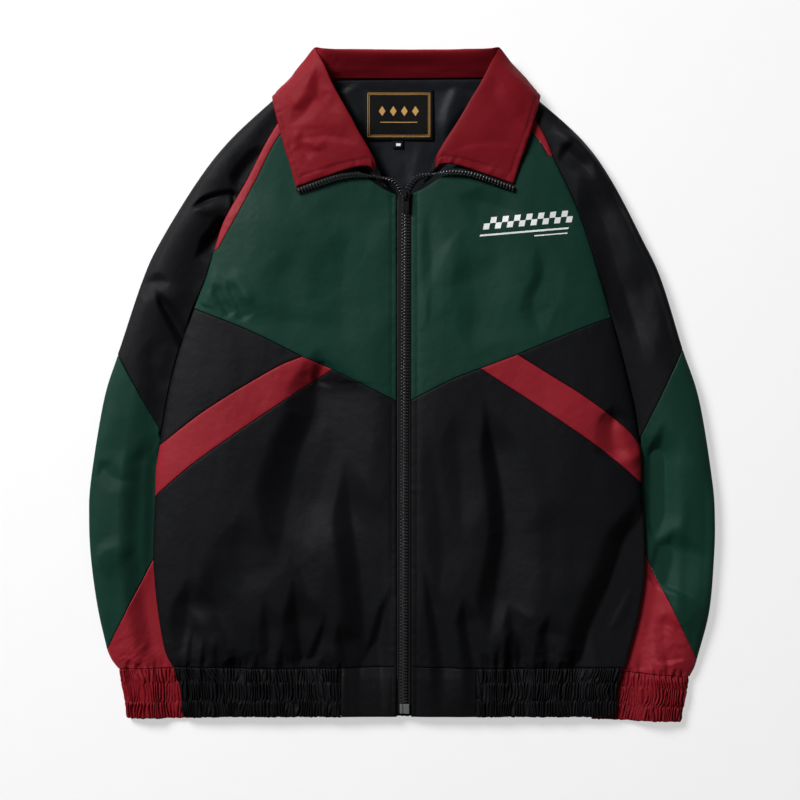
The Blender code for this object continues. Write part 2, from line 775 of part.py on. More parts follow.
def build_back():
    sides = ("side_wedge", "side_stripe", "side_lower")
    edges = {side: joined(*(seam(f"{name}_{side}") for name in sides)) for side in SIDES}
    raglans = {}
    for side in SIDES:
        count = len(joined(*(seam(f"{name}_{side}") for name in ("raglan", "armhole", "underarm"))))
        raglans[side] = resample(smooth_curve(CURVES[f"back_raglan_{side}"]), count)
    hem_line = across_back(edges["L"][-1], edges["R"][-1])
    sheet(
        "back_panel",
        (
            raglans["L"],
            edges["L"],
            hem_line,
            edges["R"][::-1],
            raglans["R"][::-1],
            seam("neck_back", FLAT_STEP)[::-1],
        ),
        back_top,
        "black_cloth",
        step=FLAT_STEP,
        rows=lift_rows(BACK_LIFT_YS),
    )
    hem_drop = Vector((0, -HEM_DROP))
    hem_sides = {side: seam(f"hem_side_{side}") for side in SIDES}
    sheet(
        "hem_elastic_back",
        (
            [point + hem_drop for point in hem_line[1:-1]],
            hem_sides["R"],
            across_back(hem_sides["L"][-1], hem_sides["R"][-1])[::-1],
            hem_sides["L"][::-1],
        ),
        hem_back_top,
        "black_cloth",
        wall=RIB_WALL,
        step=FLAT_STEP,
        rows=lift_rows(HEM_LIFT_YS),
    )


def build_neck_inside():
    def lining_top(x, y):
        return back_top(x, y) + 2 * SEAM_GAP + LINING_WALL

    def label_top(x, y):
        return lining_top(x, y) + 2 * SEAM_GAP + LABEL_WALL

    corners = [Vector(point) for point in LINING_CORNERS]
    sides = [straight(start, end, FLAT_STEP) for start, end in zip(corners, [*corners[1:], corners[0]])]
    sheet("back_lining", sides, lining_top, "lining_cloth", wall=LINING_WALL)
    for name, box in (("neck_label", LABEL_BOX), ("size_tab", SIZE_TAB_BOX)):
        left, right, bottom, top = box
        corners = [Vector(point) for point in ((left, bottom), (right, bottom), (right, top), (left, top))]
        sides = [straight(start, end, LABEL_STEP) for start, end in zip(corners, [*corners[1:], corners[0]])]
        sheet(name, sides, label_top, "label_cloth", wall=LABEL_WALL)


# ---------- collar ----------


def mirrored(point):
    """The collar's left half seen on the right."""
    rise = (point[1] - COLLAR_FOOT_Y) / COLLAR_TALL
    middle = COLLAR_MIDDLE_X + COLLAR_LEAN * rise
    return (2 * middle - point[0], point[1] + COLLAR_RAISE * (1 - rise), point[2])


def collar_sections():
    left = [list(section) for section in COLLAR]
    right = [[mirrored(point) for point in section] for section in COLLAR[-2::-1]]
    sections = left + right
    lines = list(zip(*sections))
    nets = [smooth_curve(line, COLLAR_ROWS) for line in lines]
    return list(zip(*nets))


def build_collar():
    """One band, rolled over: its sections are smoothed across, then thickened on both sides."""
    bm = bmesh.new()
    rows = [[bm.verts.new(point) for point in smooth_curve(section, 2)] for section in collar_sections()]
    for row, following in zip(rows, rows[1:]):
        for index in range(len(row) - 1):
            bm.faces.new((row[index], row[index + 1], following[index + 1], following[index]))
    collar = add_object("collar", mesh_from("collar", bm), "red_cloth")
    wall = collar.modifiers.new("wall", "SOLIDIFY")
    wall.thickness = WALL * MM
    wall.offset = 0.0


# ---------- zip ----------


def chain_x(y):
    share = (y - ZIP_BOTTOM_Y) / (ZIP_TOP_Y - ZIP_BOTTOM_Y)
    return CHAIN_BOTTOM_X + (CHAIN_TOP_X - CHAIN_BOTTOM_X) * share


def tape_top(x, y):
    return front_top(x, y) - TAPE_DROP


def build_tapes():
    """Each tape runs up the front, then along the collar's edge to its tip."""
    half_gap = SEAM_GAP / 2
    count = round((ZIP_TOP_Y - ZIP_BOTTOM_Y) / CLOTH_STEP)
    for side in SIDES:
        cloth_x = ZIP_X[side] - SIGN[side] * half_gap
        pairs = []
        for index in range(count):
            y = ZIP_BOTTOM_Y + (ZIP_TOP_Y - TAPE_TURN - ZIP_BOTTOM_Y) * index / (count - 1)
            inner_x = chain_x(y) + SIGN[side] * half_gap
            pairs.append([(x, y, tape_top(x, y)) for x in (inner_x, cloth_x)])
        ends = [[mirrored(point) for point in pair] for pair in COLLAR_TAPE] if side == "R" else COLLAR_TAPE
        chains = smooth_curve([pair[0] for pair in ends], 2)
        cloths = smooth_curve([pair[1] for pair in ends], 2)
        pairs.extend(zip(chains, cloths))
        upper = [[Vector(chain), Vector(cloth)] for chain, cloth in pairs]
        lower = [[point - Vector((0, 0, TAPE_WALL)) for point in row] for row in upper]
        loft(f"zip_tape_{side}", upper, lower, False, "zip_tape")


def box_mesh(name, size, centre, bevel):
    """A box with rounded edges, in millimetres."""
    bm = bmesh.new()
    bmesh.ops.create_cube(bm, size=1.0)
    bmesh.ops.scale(bm, vec=size, verts=bm.verts)
    if bevel:
        bmesh.ops.bevel(bm, geom=bm.edges[:], offset=bevel, segments=2, profile=0.5, affect="EDGES")
    bmesh.ops.translate(bm, vec=centre, verts=bm.verts)
    return mesh_from(name, bm)


def slider_outline():
    """Half outline of the slider's plate: wide where the chain divides, narrow at the tail."""
    return [(share * SLIDER_WIDTH / 2, along) for share, along in SLIDER_HALF]


def prism(name, outline, bottom, top):
    """A plate of a given outline between two heights."""
    bm = bmesh.new()
    face = bm.faces.new([bm.verts.new((x, y, bottom)) for x, y in outline])
    made = bmesh.ops.extrude_face_region(bm, geom=[face])
    raised = [item for item in made["geom"] if isinstance(item, bmesh.types.BMVert)]
    bmesh.ops.translate(bm, vec=(0, 0, top - bottom), verts=raised)
    return mesh_from(name, bm)


def tube_mesh(name, points, radius):
    """A round wire through the points, as a welded mesh in metres."""
    curve = bpy.data.curves.new(name, "CURVE")
    curve.dimensions = "3D"
    curve.bevel_depth = radius * MM
    curve.bevel_resolution = 3
    curve.use_fill_caps = True
    line = curve.splines.new("POLY")
    line.points.add(len(points) - 1)
    for target, point in zip(line.points, points):
        target.co = (*(Vector(point) * MM), 1)
    holder = bpy.data.objects.new(name, curve)
    bpy.context.scene.collection.objects.link(holder)
    bpy.context.view_layer.update()
    mesh = bpy.data.meshes.new_from_object(holder.evaluated_get(bpy.context.evaluated_depsgraph_get()))
    bpy.data.objects.remove(holder)
    bm = bmesh.new()
    bm.from_mesh(mesh)
    bmesh.ops.remove_doubles(bm, verts=bm.verts, dist=1e-6)
    bmesh.ops.recalc_face_normals(bm, faces=bm.faces)
    bm.to_mesh(mesh)
    bm.free()
    return mesh


def cut_or_join(made, name, mesh, operation):
    """Adds a Boolean of another mesh to an object."""
    helper = bpy.data.objects.new(name, mesh)
    bpy.data.collections["cutters"].objects.link(helper)
    helper.parent = made.parent
    helper.hide_render = True
    helper.display_type = "WIRE"
    step = made.modifiers.new(name, "BOOLEAN")
    step.operation = operation
    step.object = helper


def empty(name, place):
    made = bpy.data.objects.new(name, None)
    bpy.data.collections["track_jacket"].objects.link(made)
    made.location = Vector(place) * MM
    return made


def build_slider():
    """Slider body with its bridge, in a frame at the middle of its plate's upper face."""
    middle_y = SLIDER_TOP_Y - SLIDER_LENGTH / 2
    middle_x = chain_x(middle_y)
    plate_top = tape_top(middle_x, middle_y) + SLIDER_SEAT + SLIDER_CHANNEL + SLIDER_PLATE
    frame = empty("slider_frame", (middle_x, middle_y, plate_top))
    half = slider_outline()
    outline = half + [(-x, y) for x, y in half[:0:-1]]
    outline = outline[::-1]
    floor = -SLIDER_PLATE - SLIDER_CHANNEL
    slider = add_object("zip_slider", prism("zip_slider", outline, floor, 0.0), "black_metal", frame)
    cut_size = (SLIDER_CHANNEL_WIDTH, SLIDER_LENGTH + 2 * CUT_SPARE, SLIDER_CHANNEL + CUT_SPARE)
    cut_place = (0, 0, floor - CUT_SPARE + cut_size[2] / 2)
    cutter = box_mesh("slider_channel", cut_size, cut_place, 0)
    cut_or_join(slider, "slider_channel", cutter, "DIFFERENCE")
    start = BRIDGE_LENGTH / 2
    turns = [math.pi * index / BRIDGE_BENDS for index in range(BRIDGE_BENDS + 1)]
    arch = [(0, start * math.cos(turn), BRIDGE_HEIGHT * math.sin(turn) ** BRIDGE_SQUARE) for turn in turns]
    arch = [(0, start, -BRIDGE_ROOT), *arch, (0, -start, -BRIDGE_ROOT)]
    cut_or_join(slider, "slider_bridge", tube_mesh("slider_bridge", arch, BRIDGE_WIRE), "UNION")
    build_pull_tab(frame)


def build_pull_tab(slider_frame):
    """Flat tab whose end bar lies under the bridge; it turns about that bar."""
    pivot_up = TAB_GAP + TAB_THICK / 2
    pivot = empty("pull_tab_axis", (0, 0, 0))
    pivot.parent = slider_frame
    pivot.location = Vector((0, 0, pivot_up)) * MM
    size = (TAB_WIDTH, TAB_LENGTH, TAB_THICK)
    middle = (0, (TAB_BAR - TAB_LENGTH) / 2, 0)
    plate = box_mesh("zip_pull_tab", size, middle, TAB_BEVEL)
    tab = add_object("zip_pull_tab", plate, "black_metal", pivot)
    eye_size = (TAB_EYE_WIDTH, TAB_EYE_LENGTH, TAB_THICK + CUT_SPARE)
    eye_place = (0, -(TAB_BAR + TAB_EYE_LENGTH) / 2, 0)
    cut_or_join(tab, "tab_eye", box_mesh("tab_eye", eye_size, eye_place, 0), "DIFFERENCE")


def build_zip_end():
    """Retainer box on the right tape and pin on the left one, at the hem."""
    middle_y = ZIP_BOTTOM_Y + BOX_FOOT + BOX_LENGTH / 2
    chain = chain_x(middle_y)
    floor = tape_top(chain, middle_y) + SEAM_GAP
    box_place = (chain + SEAM_GAP + BOX_WIDTH / 2, middle_y, floor + BOX_THICK / 2)
    box = box_mesh("zip_box", (BOX_WIDTH, BOX_LENGTH, BOX_THICK), box_place, BOX_BEVEL)
    add_object("zip_box", box, "grey_plastic")
    pin_place = (chain - SEAM_GAP - PIN_WIDTH / 2, middle_y, floor + BOX_THICK / 2)
    pin = box_mesh("zip_pin", (PIN_WIDTH, BOX_LENGTH, PIN_THICK), pin_place, BOX_BEVEL)
    add_object("zip_pin", pin, "grey_plastic")


def clear_scene():
    for found in list(bpy.data.objects):
        bpy.data.objects.remove(found)
    for name in ("track_jacket", "cutters"):
        bpy.context.scene.collection.children.link(bpy.data.collections.new(name))


def main():
    clear_scene()
    build_back()
    build_neck_inside()
    for side in SIDES:
        build_sleeve(side)
        build_front(side)
    build_collar()
    build_tapes()
    build_slider()
    build_zip_end()


main()
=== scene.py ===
"""Looks of a zip-front track jacket that lies flat on its back, seen from straight above.

The tables are in millimetres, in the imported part's frame: X to the right, Y towards the collar,
Z up. Each cloth piece follows the same curves and heights as its solid, with folds, gathers and
seam puckers added, as a thin shell.
"""

import math

import bpy
import numpy as np
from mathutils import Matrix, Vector
from mathutils.geometry import delaunay_2d_cdt


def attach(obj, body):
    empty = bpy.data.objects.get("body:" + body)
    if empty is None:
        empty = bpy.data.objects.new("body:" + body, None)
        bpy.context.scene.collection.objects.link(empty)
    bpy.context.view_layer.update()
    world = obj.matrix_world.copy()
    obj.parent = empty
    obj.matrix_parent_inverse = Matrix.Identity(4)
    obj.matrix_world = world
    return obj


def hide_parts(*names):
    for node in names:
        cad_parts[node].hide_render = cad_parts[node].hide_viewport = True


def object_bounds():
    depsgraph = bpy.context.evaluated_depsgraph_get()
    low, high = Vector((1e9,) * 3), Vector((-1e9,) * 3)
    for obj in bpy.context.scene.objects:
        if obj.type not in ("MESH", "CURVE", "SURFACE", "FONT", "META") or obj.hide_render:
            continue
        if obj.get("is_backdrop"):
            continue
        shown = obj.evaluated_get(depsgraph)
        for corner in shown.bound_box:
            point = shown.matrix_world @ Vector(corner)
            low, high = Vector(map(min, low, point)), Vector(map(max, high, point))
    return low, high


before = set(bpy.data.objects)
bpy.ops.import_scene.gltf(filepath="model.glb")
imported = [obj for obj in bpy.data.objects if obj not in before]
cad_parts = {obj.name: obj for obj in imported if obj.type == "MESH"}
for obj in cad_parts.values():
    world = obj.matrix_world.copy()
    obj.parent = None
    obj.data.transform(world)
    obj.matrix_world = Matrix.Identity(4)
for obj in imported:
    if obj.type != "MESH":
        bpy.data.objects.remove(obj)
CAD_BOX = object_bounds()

MM = 0.001
SIDES = ("L", "R")
SIGN = {"L": -1, "R": 1}
BODY = "jacket"

CLOTH_STEP = 2.1  # spacing of the points on the front
HIDDEN_STEP = 6.0  # the same on the back
EDGE_STEP = 2.0  # spacing of the points along a seam
EDGE_RINGS = (0.8, 2.0)  # rows of points this far inside an outline
SEAM_GAP = 0.3
CLOTH_WALL = 0.9
RIB_WALL = 1.3
SEAM_DIP = 0.4  # a seam lies this much lower than the cloth
SEAM_DIP_WIDTH = 0.8
PUCKER = 0.28
PUCKER_PITCH = 5.5
PUCKER_REACH = 7.0

# The solid's own sizes, as in the part
WALL = 1.5
RIB_SOLID = 1.8
LAP_HEIGHT = 5.0
LAP_LIFT = LAP_HEIGHT + 2 * SEAM_GAP
LAP_RAMP = (2.0, 22.0)
LAP_TOP_Y = -50.0
LAP_FULL_Y = -84.0
LEAF_LIFT = 3.0
LEAF_TOP_Y = 290.0
LEAF_END_Y = 235.0
EDGE_REACH = 95.0
CREST_SHARE = 0.45
PRESSED_SHARE = 0.16
FOLD_UNDER = 12.0
LEAST_SLEEVE = 25.0
HEM_BOTTOM_Y = -358.0
HEM_DROP = 1.0
FRONT_GATHER = 1.75  # cut width of a gathered band over its width in place
BACK_GATHER = 1.1
CUFF_GATHER = 1.45
RIB_LENGTH = 1.05  # the same along the ruffles
HEM_RISE = 0.8
HEM_SWELL = 14.0  # the plain hem takes this far from its seam to reach its full height
HEM_SEAM_Y = -305.0
HEM_FOLLOW = 34.0  # the front's folds fade down the hem over about this much
RUFFLE = 3.3  # height of the gathers of an elastic band
RUFFLE_PITCH = 3.3
EDGE_PITCH = 2.4  # waves of an elastic band's free edges
SHIRRING = (0.29, 0.67)  # rows of stitching across an elastic band, as shares of it

HEIGHTS = (
    # y, front, edge, crest, fold
    (330, 16, 13, 13, 6),
    (260, 18, 15, 18, 8),
    (200, 21, 16, 20, 9),
    (90, 25, 15, 20, 10),
    (0, 27, 11, 18, 10),
    (-50, 27, 9, 17, 10),
    (-150, 26, 9, 17, 10),
    (-250, 22, 9, 16, 8),
    (-305, 15, 9, 13, 5),
    (-366, 13, 9, 12, 5),
)
HEIGHT_SOFTNESS = 14.0  # the heights run together over about this much
HEIGHT_STEP = 2.0
HEIGHT_REACH = 24  # steps on each side that count

ZIP_X = {"L": -5.7, "R": 9.7}
ZIP_TOP_Y = 205.0
ZIP_BOTTOM_Y = -356.0
CHAIN_TOP_X = 3.8
CHAIN_BOTTOM_X = 1.1
ZIP_DIP = 3.5
ZIP_DIP_WIDTH = 22.0
ZIP_FREE = (4.0, 24.0)  # folds fade out between these distances from the chain
TAPE_DROP = 0.8
TAPE_TURN = 6.0

CURVES = {
    # outer folds of the sleeves
    "fold_L": ((-121, 323), (-140, 308), (-186, 265), (-220, 222), (-260, 157), (-280, 114), (-307, 33)),
    "fold_R": ((125, 326), (148, 308), (195, 265), (226, 222), (260, 157), (280, 114), (303, 39)),
    "elbow_L": (
        (-307, 33), (-322, -16), (-336, -102), (-338, -145), (-336, -188), (-329, -240), (-319, -286),
    ),
    "elbow_R": ((303, 39), (321, -16), (335, -102), (338, -145), (337, -188), (332, -245), (319, -297)),
    "wrist_L": ((-319, -286), (-314, -297), (-307, -306)),
    "wrist_R": ((319, -297), (316, -306), (311, -315)),
    "cuff_L": ((-306, -306), (-302, -329), (-297, -360)),
    "cuff_R": ((310, -315), (307, -335), (301, -364)),
    # raglan seams of the front, with the stripe between sleeve and yoke
    "raglan_L": ((-123, 300), (-145, 265), (-167, 222), (-191, 179), (-203, 145)),
    "raglan_R": ((125, 302), (144, 285), (156, 265), (163, 246)),
    "armhole_L": ((-203, 145), (-212, 114), (-225, 83)),
    "armhole_R": ((163, 246), (185, 200), (201, 157), (214, 114), (226, 73)),
    "underarm_L": ((-225, 83), (-240, 40), (-251, -1), (-260, -50)),
    "underarm_R": ((226, 73), (240, 23), (251, -24), (257, -58)),
    "stripe_in_L": ((-112, 291), (-135, 265), (-157, 222), (-180, 179), (-198, 147)),
    "stripe_in_R": ((114, 291), (135, 276), (148, 263), (158, 247)),
    # raglan seams of the back
    "back_raglan_L": (
        (-104, 325), (-126, 295), (-175, 211), (-212, 127), (-225, 83), (-251, -1), (-260, -50),
    ),
    "back_raglan_R": ((108, 327), (130, 298), (177, 211), (212, 127), (226, 73), (251, -24), (257, -58)),
    # neckline
    "neck_L": ((-5.7, 205), (-24, 214), (-54, 237), (-80, 262), (-112, 291)),
    "neck_R": ((9.7, 206), (28, 215), (57, 236), (82, 259), (114, 291)),
    "neck_stripe_L": ((-112, 291), (-123, 300)),
    "neck_stripe_R": ((114, 291), (125, 302)),
    "neck_back": ((-104, 325), (-50, 327), (0, 327), (52, 328), (108, 327)),
    # side edges of the front, over the sleeves
    "side_wedge_L": ((-260, -50), (-262, -65)),
    "side_wedge_R": ((257, -58), (257.6, -65)),
    "side_stripe_L": ((-262, -65), (-266, -91), (-267, -120)),
    "side_stripe_R": ((257.6, -65), (259, -91), (259, -106)),
    "side_lower_L": ((-267, -120), (-269, -183), (-265, -235), (-257, -284), (-248, -304)),
    "side_lower_R": ((259, -106), (262, -167), (262, -204), (256, -244), (247, -280), (240, -305)),
    # seams between the front's colours
    "yoke_wedge_L": ((-225, 83), (-164, 59), (-107, 31)),
    "yoke_wedge_R": ((226, 73), (192, 61), (124, 33)),
    "yoke_stripe_L": ((-107, 31), (-75, 17)),
    "yoke_stripe_R": ((124, 33), (84, 18)),
    "yoke_lower_L": ((-75, 17), (-32, -4), (-5.7, -17)),
    "yoke_lower_R": ((84, 18), (53, 6), (9.7, -16)),
    "stripe_top_L": ((-107, 31), (-139, 17), (-210, -26), (-262, -65)),
    "stripe_top_R": ((124, 33), (156, 13), (199, -14), (240, -45), (257.6, -65)),
    "stripe_low_L": ((-75, 17), (-141, -26), (-205, -70), (-233, -91), (-267, -120)),
    "stripe_low_R": ((84, 18), (152, -26), (216, -70), (259, -106)),
    # hem band
    "hem_seam_L": ((-248, -304), (-155, -306), (-66, -306)),
    "hem_seam_R": ((240, -305), (160, -306), (80, -306)),
    "hem_plain_seam_L": ((-66, -306), (-5.7, -304)),
    "hem_plain_seam_R": ((80, -306), (9.7, -304)),
    "hem_joint_L": ((-66, -306), (-66, HEM_BOTTOM_Y)),
    "hem_joint_R": ((80, -306), (80, HEM_BOTTOM_Y)),
    "hem_foot_L": ((-5.7, HEM_BOTTOM_Y), (-66, HEM_BOTTOM_Y)),
    "hem_foot_R": ((9.7, HEM_BOTTOM_Y), (80, HEM_BOTTOM_Y)),
    "hem_side_L": ((-246, -307), (-240, -328), (-237, HEM_BOTTOM_Y)),
    "hem_side_R": ((237, -308), (232, -335), (231, HEM_BOTTOM_Y)),
    # inner folds of the sleeves, under the body
    "inner_L": ((-260, -50), (-266, -66), (-267.5, -84), (-255, -108), (-238, -127)),
    "inner_R": ((257, -58), (261, -70), (262, -86), (252, -104), (236, -127)),
    "inner_low_L": ((-238, -127), (-216, -180), (-207, -242), (-212, -306)),
    "inner_low_R": ((236, -127), (216, -180), (206, -242), (214, -308)),
    "cuff_inner_L": ((-213, -306), (-217, -360)),
    "cuff_inner_R": ((213, -308), (205, -361)),
}

# Front panels: their outlines follow these curves, and a minus runs one backwards.
PANELS = (
    (
        "front_yoke",
        ("neck", "stripe_in", "armhole", "yoke_wedge", "yoke_stripe", "yoke_lower"),
        "green_cloth",
    ),
    ("raglan_stripe", ("raglan", "-stripe_in", "neck_stripe"), "red_cloth"),
    ("front_side", ("underarm", "side_wedge", "-stripe_top", "-yoke_wedge"), "black_cloth"),
    ("front_stripe", ("stripe_top", "side_stripe", "-stripe_low", "-yoke_stripe"), "red_cloth"),
    ("front_lower", ("stripe_low", "side_lower", "hem_seam", "hem_plain_seam", "-yoke_lower"), "black_cloth"),
)

# Folds of the front. Depth: minus is a trough, plus a ridge.
FRONT_FOLDS = (
    # points, width at start, width at end, depth, fade in, fade out
    # lower front, left
    (((-96, 54), (-101, 16), (-103, -20), (-119, -63), (-131, -117), (-146, -190)), 21, 33, -9.6, 0.22, 0.36),
    (((-150, -150), (-112, -196), (-104, -240)), 8, 12, -2.0, 0.45, 0.45),
    (((-76, -24), (-88, -80), (-112, -160), (-118, -204)), 24, 24, -1.8, 0.3, 0.3),
    (((-66, -70), (-60, -130), (-50, -205), (-44, -298)), 14, 17, -7.0, 0.35, 0.0),
    (((-6, -200), (-20, -240), (-36, -298)), 6, 7, -3.2, 0.5, 0.0),
    (((-212, -170), (-204, -230), (-186, -304)), 18, 13, -4.6, 0.5, 0.0),
    (((-236, -232), (-212, -262), (-184, -302)), 6, 5, 1.6, 0.4, 0.1),
    (((-228, -228), (-200, -262), (-176, -302)), 6, 5, 1.2, 0.4, 0.1),
    (((-234, -200), (-236, -240), (-246, -296)), 12, 17, -4.5, 0.4, 0.45),
    (((-122, -200), (-115, -256), (-112, -306)), 8, 17, -6.2, 0.5, 0.0),
    (((-84, -240), (-88, -268), (-102, -306)), 5, 7, -3.0, 0.5, 0.0),
    (((-70, -248), (-66, -276), (-62, -306)), 6, 9, -3.4, 0.5, 0.0),
    (((-152, -222), (-146, -264), (-148, -306)), 6, 9, -3.4, 0.5, 0.0),
    (((-178, -130), (-182, -180), (-176, -230)), 22, 18, -2.2, 0.4, 0.4),
    # lower front, right
    (((84, -8), (92, -50), (102, -100), (106, -150), (99, -206), (88, -276)), 9, 18, -7.2, 0.25, 0.2),
    (((250, -110), (230, -180), (208, -235), (186, -304)), 22, 22, -7.5, 0.3, 0.0),
    (((256, -196), (240, -236), (212, -286)), 8, 6, 1.8, 0.3, 0.2),
    (((22, -40), (34, -110), (38, -180), (34, -240)), 14, 12, -2.4, 0.3, 0.4),
    (((52, -20), (58, -90), (60, -160)), 14, 12, -2.0, 0.3, 0.4),
    (((20, -190), (32, -240), (42, -300)), 5, 9, -4.0, 0.5, 0.0),
    (((62, -222), (68, -262), (76, -306)), 7, 9, -4.4, 0.4, 0.0),
    (((112, -230), (120, -268), (124, -306)), 7, 11, -4.6, 0.4, 0.0),
    (((156, -240), (152, -272), (150, -306)), 7, 10, -4.0, 0.4, 0.0),
    (((150, -110), (156, -170), (150, -220)), 24, 20, -2.0, 0.4, 0.4),
    # yoke
    (((-148, 215), (-158, 150), (-158, 112), (-166, 66)), 34, 32, 2.9, 0.3, 0.2),
    (((66, 172), (46, 134), (30, 98), (22, 56)), 7, 8, 1.3, 0.3, 0.3),
    (((40, 190), (46, 150), (48, 96)), 12, 12, 0.9, 0.4, 0.4),
    (((60, 150), (74, 100), (66, 40)), 18, 16, -2.2, 0.3, 0.3),
    (((140, 160), (149, 124), (137, 92), (147, 54)), 8, 11, -2.3, 0.35, 0.3),
    (((112, 156), (120, 112), (112, 58)), 17, 17, 1.3, 0.4, 0.4),
    (((52, 208), (92, 198), (130, 186)), 10, 12, -2.6, 0.4, 0.4),
    (((-112, 186), (-62, 194), (-14, 184)), 22, 22, -1.5, 0.4, 0.3),
    (((24, 190), (30, 130), (26, 60)), 8, 8, -1.8, 0.3, 0.4),
    (((-60, 190), (-74, 120), (-70, 40)), 30, 26, -2.4, 0.4, 0.4),
    (((-120, 160), (-132, 110), (-120, 60)), 24, 22, -1.8, 0.4, 0.4),
    (((-206, 112), (-194, 92), (-186, 74)), 4, 4, -1.6, 0.3, 0.1),
    (((-190, 116), (-180, 94), (-170, 70)), 4, 5, -1.8, 0.3, 0.1),
    (((-200, 128), (-206, 104), (-214, 84)), 4, 4, 1.2, 0.3, 0.1),
    (((-184, 128), (-172, 104), (-160, 82)), 4, 4, 1.1, 0.3, 0.3),
    # stripes
    (((-84, 30), (-90, 16), (-96, 2)), 6, 6, -1.8, 0.2, 0.2),
    (((224, -14), (222, -44), (226, -84)), 12, 16, -3.8, 0.3, 0.3),
    (((230, -30), (240, -58), (252, -94)), 5, 6, 1.6, 0.3, 0.3),
)

SLEEVE_FOLDS = (
    # points, width at start, width at end, depth, fade in, fade out
    # left, from the shoulder down
    (((-170, 262), (-206, 240), (-236, 206)), 9, 7, 1.6, 0.4, 0.4),
    (((-150, 262), (-176, 232), (-184, 214)), 10, 8, -3.0, 0.3, 0.2),
    (((-229, 193), (-206, 203), (-176, 208)), 4, 5, -4.0, 0.3, 0.15),
    (((-226, 186), (-210, 194), (-195, 200), (-181, 201)), 3.5, 4, 2.6, 0.35, 0.1),
    (((-186, 186), (-206, 162), (-228, 138)), 13, 7, -5.5, 0.2, 0.4),
    (((-268, 106), (-252, 78), (-230, 38)), 3, 6, -4.4, 0.3, 0.0),
    (((-258, 112), (-236, 86), (-222, 62)), 7, 7, 1.8, 0.4, 0.1),
    (((-296, 104), (-272, 114), (-248, 112)), 7, 6, -2.0, 0.3, 0.4),
    (((-250, 50), (-256, 26), (-264, 2)), 9, 9, 1.0, 0.4, 0.4),
    (((-270, 60), (-274, 30), (-268, -10)), 12, 12, -1.5, 0.4, 0.4),
    (((-334, -78), (-314, -96), (-290, -104)), 6, 8, -1.7, 0.3, 0.5),
    (((-314, -10), (-318, -40), (-330, -74)), 6, 6, 0.9, 0.4, 0.4),
    (((-284, -46), (-284, -110), (-283, -180), (-282, -246)), 17, 17, 2.8, 0.25, 0.35),
    (((-212, 222), (-232, 190), (-256, 138), (-275, 86), (-290, 40)), 11, 12, 2.4, 0.3, 0.4),
    (((-334, -190), (-312, -176), (-284, -176)), 7, 8, 1.6, 0.1, 0.5),
    # right
    (((163, 275), (190, 257), (217, 236)), 5, 6, 2.2, 0.3, 0.4),
    (((168, 262), (188, 244), (206, 222)), 7, 7, -3.4, 0.2, 0.5),
    (((140, 300), (158, 290), (182, 274)), 6, 6, -2.4, 0.2, 0.5),
    (((186, 240), (214, 180), (238, 100), (260, 20)), 16, 15, -6.4, 0.25, 0.4),
    (((244, 150), (259, 90), (272, 36)), 17, 16, -1.8, 0.4, 0.4),
    (((222, 200), (240, 150), (256, 90)), 9, 9, 1.6, 0.4, 0.4),
    (((272, 110), (285, 60), (289, 10)), 12, 11, -1.2, 0.4, 0.4),
    (((279, -32), (275, -80), (270, -125), (265, -172)), 12, 12, -6.0, 0.3, 0.3),
    (((298, -50), (306, -100), (302, -150)), 9, 9, 0.9, 0.4, 0.4),
    (((303, -60), (305, -120), (304, -180), (300, -250)), 16, 16, -2.3, 0.3, 0.3),
    (((290, -146), (284, -180), (270, -214)), 12, 15, -6.4, 0.4, 0.1),
    (((300, -180), (298, -230), (306, -280)), 9, 8, 1.0, 0.4, 0.4),
    (((286, -240), (280, -262), (284, -300)), 8, 8, -2.8, 0.3, 0.1),
)
FOLD_STRENGTH = 1.55
VALLEY_SOFT = 0.14  # how rounded a fold is: 0 is two flat flanks with sharp edges
RIDGE_SOFT = 0.4
LIGHT_FROM = np.array((-0.72, 0.69))
RUN_OUT = 1.6  # a fold's far side is wider by this share
TIP_WIDTH = 0.25  # where a fold fades out it also narrows, to this share
VALLEY_SHIFT = 0.5  # a trough's floor lies past its dark side by this share of its width

# Patches of small sharp creases.
CRUMPLES = (
    # x, y, reach x, reach y, size, height
    (-190, 92, 26, 22, 9, 0.55),
    (-212, 112, 14, 26, 8, 0.4),
    (20, 60, 10, 150, 8, 0.25),
    (-16, 60, 10, 150, 8, 0.25),
    (-116, 14, 26, 16, 8, 0.5),
    (-176, -30, 50, 22, 10, 0.35),
    (-160, 200, 8, 60, 6, 0.5),
    (190, -30, 40, 24, 10, 0.3),
    (100, 10, 18, 14, 7, 0.35),
    (-160, -290, 90, 16, 8, 0.5),
    (160, -290, 90, 16, 8, 0.5),
    (30, -292, 40, 14, 8, 0.3),
    (-40, -292, 40, 14, 8, 0.3),
    (-184, 190, 12, 40, 7, 0.6),
    (-290, -290, 30, 26, 8, 0.8),
    (292, -280, 30, 34, 8, 0.9),
    (268, -262, 26, 30, 10, 0.7),
)
EVERYWHERE = (34.0, 0.7)  # size and height of the soft unevenness all over
EVERYWHERE_FINE = (13.0, 0.12)
NOISE_TABLE = 64  # noise repeats after this many bumps
OCTAVE = 1.8  # each layer of creases is this much smaller than the last
FOLD_POINTS = 14
FOLD_REACH = 2.2  # a fold is worked out this many widths away
GATHER_SPREAD = 1.8  # a gather's width at its tip over that at the seam
LEAST_SLEEVE_TOP = 3.0

# Gathers of a seam: spacing, length, width, depth
FINE_GATHERS = ((4.0, 10.0), (8.0, 28.0), (1.6, 2.8), (0.9, 2.0))
BROAD_GATHERS = ((12.0, 28.0), (24.0, 62.0), (3.2, 6.0), (1.6, 3.2))

